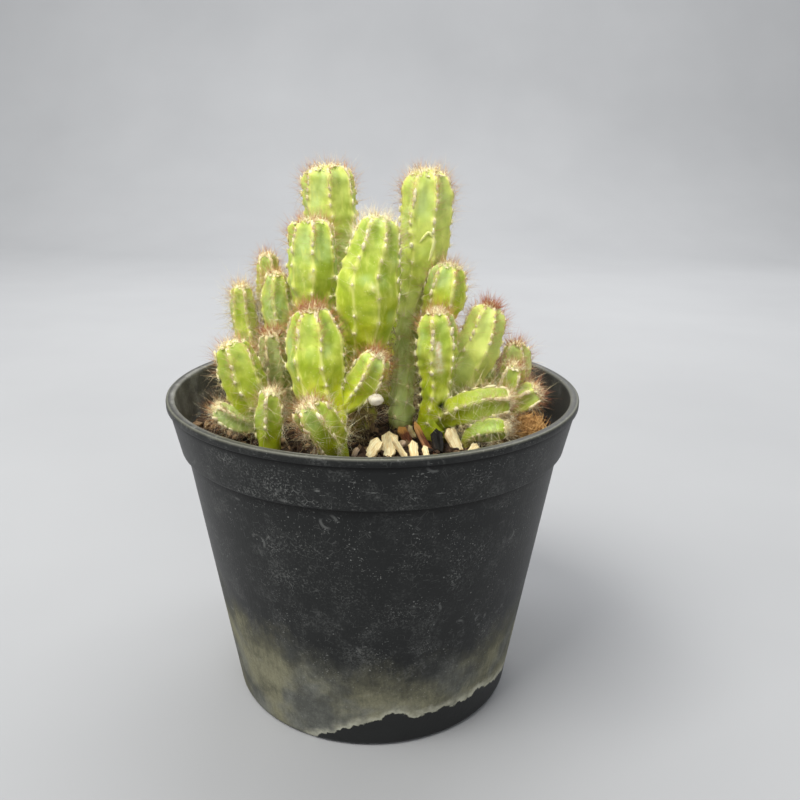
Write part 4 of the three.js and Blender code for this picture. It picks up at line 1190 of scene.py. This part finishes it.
def make_litter():
    """Dead fibres and root hairs, loosely heaped from the soil up between the stems."""
    meshes = []
    for x, y, spread, low, high, count, pale in LITTER:
        base = np.stack([x + spread * random.normal(0, 0.6, count),
                         y + spread * random.normal(0, 0.6, count),
                         mix(low, high, random.uniform(0, 1, count) ** 1.3)], -1)
        base[:, 2] = np.maximum(base[:, 2], soil_height(base[:, 0], base[:, 1]) - 0.4)
        aim = unit(random.normal(0, 1, (count, 3)) * [1, 1, 0.9])
        longest = min(7.0, 1.8 + 1.6 * spread)
        length = fit_in_pot(base, aim, longest * random.uniform(0.35, 1, count))
        meshes.append(needle_mesh(base, aim, length, random.uniform(0.05, 0.13, count),
                                  random.normal(0, 0.45, (count, 3)),
                                  pale * random.uniform(0, 1, count) ** 1.5, 4))
    points, faces, values = joined(meshes)
    add_piece("dry_fibres", points, faces, ROOTS, values={"tint": values["tint"]})


# Chips

def chip_section(flat):
    """A chip's section, as shares of its width and thickness: four flat sides with slightly broken
    edges, or a round one."""
    if flat:
        return (np.array([0, 0.08, 0.33, 0.66, 0.92, 1, 1, 0.92, 0.66, 0.33, 0.08, 0]),
                np.array([-0.3, -0.5, -0.5, -0.5, -0.5, -0.3, 0.3, 0.5, 0.5, 0.5, 0.5, 0.3]))
    angle = 2 * math.pi * (np.arange(12) + 0.5) / 12
    return 0.5 - 0.5 * np.cos(angle), -0.5 * np.sin(angle)


def make_chip(name, low, high, width, thickness, roll, seed):
    """A split flake with slanted, broken ends, flat faces and a slight curl, or a round pebble."""
    kind = name.split("_")[1]
    flat = name not in PEBBLES
    low = np.array(low, float)
    high = np.array(high, float)
    length = np.linalg.norm(high - low)
    along = (high - low) / length
    level = unit(np.cross([0, 0, 1.0], along))
    upward = np.cross(along, level)
    turn = math.radians(roll)
    across = level * math.cos(turn) + upward * math.sin(turn)
    facing = upward * math.cos(turn) - level * math.sin(turn)
    dice = np.random.default_rng(seed)
    rows = 16
    share = np.linspace(-0.5, 0.5, rows)
    jag = dice.normal(0, 0.025, (2, rows))
    bow = dice.uniform(0.3, 0.9)
    if flat:
        far = np.interp(share, *np.transpose(CHIP_OUTLINE_FAR))
        near = np.minimum(np.interp(share, *np.transpose(CHIP_OUTLINE_NEAR)) + jag[0], far - 0.06)
        far = far + jag[1] * 0.8
        thin = np.interp(share, [-0.5, -0.3, 0.25, 0.5], [0.7, 1, 0.9, 0.35])
        curl = bow * share ** 2 * thickness * 2
    else:
        far = 0.5 * np.sqrt(np.clip(1.02 - 4 * share ** 2, 0, 1))
        near = -far
        thin = 2 * far
        curl = np.zeros(rows)
    across_at, facing_at = chip_section(flat)
    around = len(across_at)
    u = np.repeat(share[:, None] * length, around, 1) + dice.normal(0, 0.02, (rows, around))
    v = mix(near[:, None], far[:, None], across_at) * width
    w = facing_at * (thin * thickness)[:, None] + curl[:, None] - 0.25 * thickness
    w += 0.16 * thickness * np.sin(v / width * 7 + seed) * thin[:, None]
    points = (low + high) / 2 + u[..., None] * along + v[..., None] * across + w[..., None] * facing
    points = points.reshape(-1, 3)
    points += (0.06 * ripple(points, 1.6, seed))[:, None] * facing
    points = np.vstack([points, points[:around].mean(0), points[-around:].mean(0)])
    grain = np.stack([u.ravel(), v.ravel() + 7.3 * seed, w.ravel()], -1)
    # The sides and the ends get the seam colour: painted shade on the pale chips
    side = np.tile((np.abs(facing_at) < 0.4).astype(float), rows)
    tips = np.repeat(smoothstep(np.abs(share), 0.44, 0.5), around)
    values = {"grain": np.vstack([grain, grain[:1], grain[-1:]]),
              "edge": np.append(np.clip(side + 0.6 * tips, 0, 1) * flat, [0.5, 0.5]),
              "upper": np.append(np.repeat(share + 0.5, around), [0, 1])}
    add_piece(name + "_flake", points, closed_faces(rows, around, flip=True),
              CHIP_PAINTS[kind] if flat else PEBBLE, replaces=[name],
              values=values, smooth=not flat)


def make_perlite():
    """One rounded, pitted grain."""
    ball, faces = BALL_642
    points = ball * (1 + 0.08 * ripple(ball, 1.1, 3)[:, None] + 0.04 * ripple(ball, 0.4, 4)[:, None])
    points = points * PERLITE_SIZE + PERLITE_AT
    add_piece("perlite_grain", points, [faces], perlite_paint(), replaces=["perlite"])


def make_fibre():
    """A tangled knot of fibres round a lumpy core."""
    ball, ball_faces = BALL_642
    lumps = 1 + 0.15 * ripple(ball, 1.1, 12) + 0.08 * ripple(ball, 0.45, 13)
    core = ball * lumps[:, None] * FIBRE_SIZE * FIBRE_CORE + FIBRE_AT
    values = {"tint": np.clip(0.5 + 0.35 * ripple(core, 1.0, 14), 0, 1), "tip": np.zeros(len(core))}
    total = 620
    outward = random.normal(0, 1, (total, 3))
    outward[:, 2] = np.abs(outward[:, 2]) * 0.9 + 0.05
    outward = unit(outward)
    sweep = unit(np.cross(outward, random.normal(0, 1, (total, 3))))
    base = FIBRE_AT + outward * FIBRE_SIZE * FIBRE_CORE - sweep * 1.5
    aim = unit(sweep + outward * random.uniform(0.0, 0.6, total)[:, None])
    length = fit_in_pot(base, aim, random.uniform(1.6, 6.0, total))
    bend = -outward * random.uniform(0.1, 0.6, total)[:, None] + random.normal(0, 0.25, (total, 3))
    strands = needle_mesh(base, aim, length, random.uniform(0.07, 0.16, total), bend,
                          random.uniform(0.1, 1, total), 4)
    points, faces, values = joined([(core, [ball_faces], values), strands])
    add_piece("fibre_knot", points, faces, FIBRE, replaces=["fibre_clump"],
              values={"tint": values["tint"]})


# Pot

def scuffed_parts(degrees, height):
    """How scuffed the pot is at each angle and height."""
    side_radius = 50
    total = np.zeros((len(height), len(degrees)))
    for angle, middle, wide, tall, strength in SCUFFS:
        away = (degrees - angle + 180) % 360 - 180
        across = np.radians(away) * side_radius / wide
        total += strength * np.exp(-across ** 2 - ((height[:, None] - middle) / tall) ** 2)
    return total


def stretch(start, end, shares):
    """Points of the pot's outline between two of its corners."""
    return [(mix(start[0], end[0], share), mix(start[1], end[1], share)) for share in shares]


def pot_outline():
    """The pot's section, from the middle of its underside round to the middle of its floor."""
    collar = COLLAR_BOTTOM
    lip_foot = POT_HEIGHT - LIP_HEIGHT
    rim = RIM_RADIUS
    top = POT_HEIGHT
    inner_lip = rim - LIP_WIDTH
    ledge = collar - WALL
    outline = [(12, 0), (30, 0)]
    outline += [(BASE_RADIUS - BASE_ROUNDING * (1 - math.sin(a)), BASE_ROUNDING * (1 - math.cos(a)))
                for a in np.linspace(0, math.pi / 2, 7)]
    outline += stretch((BASE_RADIUS, BASE_ROUNDING), (NECK_RADIUS, collar - 1.0),
                       np.linspace(0.03, 1, 34))
    outline += [(NECK_RADIUS + 0.05, collar - 0.7), (NECK_RADIUS + 0.25, collar - 0.58),
                (COLLAR_RADIUS - 0.35, collar - 0.42), (COLLAR_RADIUS - 0.08, collar - 0.2),
                (COLLAR_RADIUS, collar + 0.2)]
    outline += stretch((COLLAR_RADIUS, collar + 0.2), (COLLAR_TOP_RADIUS, lip_foot - 0.3),
                       np.linspace(0.1, 1, 9))
    outline += [(COLLAR_TOP_RADIUS, lip_foot - 0.05), (COLLAR_TOP_RADIUS + 0.15, lip_foot + 0.05),
                (rim - 0.2, lip_foot + 0.12), (rim - 0.03, lip_foot + 0.3), (rim, top - 0.6),
                (rim - 0.08, top - 0.25), (rim - 0.35, top - 0.05), (rim - 0.8, top),
                (rim - 1.5, top - 0.03), (inner_lip + 0.2, top - 0.2), (inner_lip, top - 0.6),
                (inner_lip - 0.1, top - 1.2)]
    outline += stretch((inner_lip - 0.12, top - 1.6), (inner_radius(collar + 1), collar + 1),
                       np.linspace(0, 1, 9))
    outline += stretch((inner_radius(ledge), ledge), (inner_radius(WALL), WALL), np.linspace(0, 1, 12))
    outline += [(30, WALL), (12, WALL)]
    return np.array(outline)


def peak(numbers, middle, width):
    """1 where the numbers are at the middle, falling away smoothly over the width."""
    return np.exp(-((numbers - middle) / width) ** 2)


def cut_drain_holes(pot):
    """Round holes through the pot's floor."""
    for angle in full_turn(DRAIN_HOLES):
        spot = (DRAIN_CIRCLE * math.cos(angle) * MM, DRAIN_CIRCLE * math.sin(angle) * MM, WALL / 2 * MM)
        bpy.ops.mesh.primitive_cylinder_add(vertices=48, radius=DRAIN_RADIUS * MM, depth=4 * WALL * MM,
                                            location=spot)
        cutter = bpy.context.object
        cut = pot.modifiers.new("drain", "BOOLEAN")
        cut.operation = "DIFFERENCE"
        cut.solver = "EXACT"
        cut.object = cutter
        with bpy.context.temp_override(object=pot, active_object=pot, selected_objects=[pot]):
            bpy.ops.object.modifier_apply(modifier=cut.name)
        bpy.data.objects.remove(cutter)


def make_pot():
    """The pot, and where its dust, scuffs, mineral band and painted shade lie."""
    sides = 256
    outline = pot_outline()
    wide, high = outline.T
    angle = full_turn(sides)
    # The thin wall isn't quite round
    waver = 0.10 * np.sin(2 * angle + 0.6) + 0.07 * np.sin(3 * angle + 2.0) + 0.04 * np.sin(5 * angle)
    height = np.repeat(high[:, None], sides, 1)
    radius = wide[:, None] + waver * np.clip(height / POT_HEIGHT, 0, 1) * (wide[:, None] > 30)
    points = np.stack([radius * np.sin(angle), -radius * np.cos(angle), height], -1)
    points = np.vstack([points.reshape(-1, 3), [[0, 0, 0], [0, 0, WALL]]])
    degrees = np.degrees(np.angle(np.exp(1j * angle)))
    outer = (np.arange(len(outline)) <= np.argmax(high)).astype(float)
    lip_edges = np.minimum(abs(wide - RIM_RADIUS + 0.3), abs(wide - RIM_RADIUS + LIP_WIDTH - 0.2))
    worn = peak(high, POT_HEIGHT, 0.3) * mix(0.7, 0.08, smoothstep(lip_edges, 0.1, 0.5))
    collar_edge = 0.35 * peak(high, COLLAR_BOTTOM + 0.3, 0.5)
    scuffed = scuffed_parts(degrees, high) + collar_edge[:, None]
    # Painted shade: dark lines just under the lip and just under the collar's step
    painted_shade_lines = np.maximum(peak(high, POT_HEIGHT - LIP_HEIGHT - 0.25, 0.4),
                       peak(high, COLLAR_BOTTOM - 0.85, 0.45)) * outer
    painted = {
        "scuffed": np.clip(scuffed, 0, 1),
        "painted_shade_lines": painted_shade_lines[:, None],
        "band_top": np.interp(degrees, *np.transpose(BAND_TOP)),
        "band_foot": np.interp(degrees, *np.transpose(BAND_FOOT)),
        "outer": outer[:, None],
        # Dust on the inner wall, with painted shade: paler on the left, darker on the right
        "inner_dust_and_shade": (1 - outer)[:, None] * (0.75 - 0.35 * np.sin(angle)),
        "worn": worn[:, None],
    }
    values = {key: np.append(np.broadcast_to(grid, radius.shape), [0, 0])
              for key, grid in painted.items()}
    faces = closed_faces(len(outline), sides, flip=True)
    pot = add_piece("pot_shell", points, faces, POT, replaces=["pot"], values=values)
    cut_drain_holes(pot)


# Stage

def make_stage():
    """A pale floor that curves up into a wall."""
    half_width = 2.6
    front = -1.6
    depth = 0.9
    bend = 0.5
    top = 2.2
    curve = [(front, 0.0), (depth, 0.0)]
    curve += [(depth + bend * math.sin(a), bend - bend * math.cos(a))
              for a in np.linspace(0.1, math.pi / 2, 14)]
    curve += [(depth + bend, top)]
    points = [(x, y, z) for y, z in curve for x in (-half_width, half_width)]
    faces = [(2 * i, 2 * i + 1, 2 * i + 3, 2 * i + 2) for i in range(len(curve) - 1)]
    mesh = bpy.data.meshes.new("studio_floor")
    mesh.from_pydata(points, [], faces)
    mesh.polygons.foreach_set("use_smooth", [True] * len(faces))
    floor = bpy.data.objects.new("studio_floor", mesh)
    bpy.context.scene.collection.objects.link(floor)
    paint = Paint("studio_floor")
    shade = paint.blend(paint.noise(6), (0.30, 0.305, 0.315), (0.35, 0.355, 0.365))
    mesh.materials.append(paint.finish(shade, 0.9, 0.2))


def add_light(name, place, target, size, power, colour):
    """A soft rectangular lamp at place that points at target, in metres and watts."""
    light = bpy.data.lights.new(name, "AREA")
    light.shape = "RECTANGLE"
    light.size, light.size_y = size
    light.energy = power
    light.color = colour
    lamp = bpy.data.objects.new(name, light)
    lamp.location = place
    lamp.rotation_euler = (Vector(target) - Vector(place)).to_track_quat("-Z", "Y").to_euler()
    bpy.context.scene.collection.objects.link(lamp)


def make_lights():
    """Soft light from the upper left, weaker light from the right and behind, a lit wall and pale sky."""
    plant = (0, 0, 0.09)
    wall = (0, 1.35, 0.35)
    add_light("key", (-0.45, -0.40, 1.05), plant, (0.6, 0.6), 15.4, (1.0, 0.985, 0.94))
    add_light("fill", (0.45, -1.15, 0.62), plant, (0.9, 0.7), 4.6, (0.97, 0.98, 1.0))
    add_light("back", (0.25, 0.9, 0.8), plant, (0.9, 0.5), 5.0, (1.0, 1.0, 1.0))
    add_light("wall", (0.0, 0.35, 1.3), wall, (1.6, 0.5), 23.0, (1.0, 1.0, 1.0))
    world = bpy.data.worlds.new("soft_sky")
    world.use_nodes = True
    sky = world.node_tree.nodes["Background"]
    sky.inputs["Color"].default_value = (0.90, 0.92, 0.94, 1)
    sky.inputs["Strength"].default_value = 0.34
    bpy.context.scene.world = world
    bpy.context.scene.view_settings.view_transform = "Standard"


def make_camera():
    """A camera in front of the plant, slightly above it and slightly rolled, as the photo's was."""
    forward = Vector((0, math.cos(CAMERA_PITCH), -math.sin(CAMERA_PITCH)))
    level = Vector((1, 0, 0))
    up = level.cross(forward)
    right = level * math.cos(CAMERA_ROLL) + up * math.sin(CAMERA_ROLL)
    over = up * math.cos(CAMERA_ROLL) - level * math.sin(CAMERA_ROLL)
    lens = bpy.data.cameras.new("camera")
    lens.sensor_width = 36
    lens.lens = 36
    lens.clip_start = 0.01
    camera = bpy.data.objects.new("camera", lens)
    place = (Vector(CAMERA_TARGET) - forward * CAMERA_DISTANCE) * MM
    axes = Matrix((right, over, -forward)).transposed().to_4x4()
    camera.matrix_world = Matrix.Translation(place) @ axes
    bpy.context.scene.collection.objects.link(camera)
    bpy.context.scene.camera = camera


make_camera()
make_pot()
make_soil()
make_crumbs()
make_litter()
for count, (name, sizes) in enumerate(CHIPS.items()):
    make_chip(name, *sizes, CHIP_SEED + count)
make_perlite()
make_fibre()
for count, (name, look) in enumerate(STEMS.items()):
    make_stem(name, look, count)
make_stage()
make_lights()
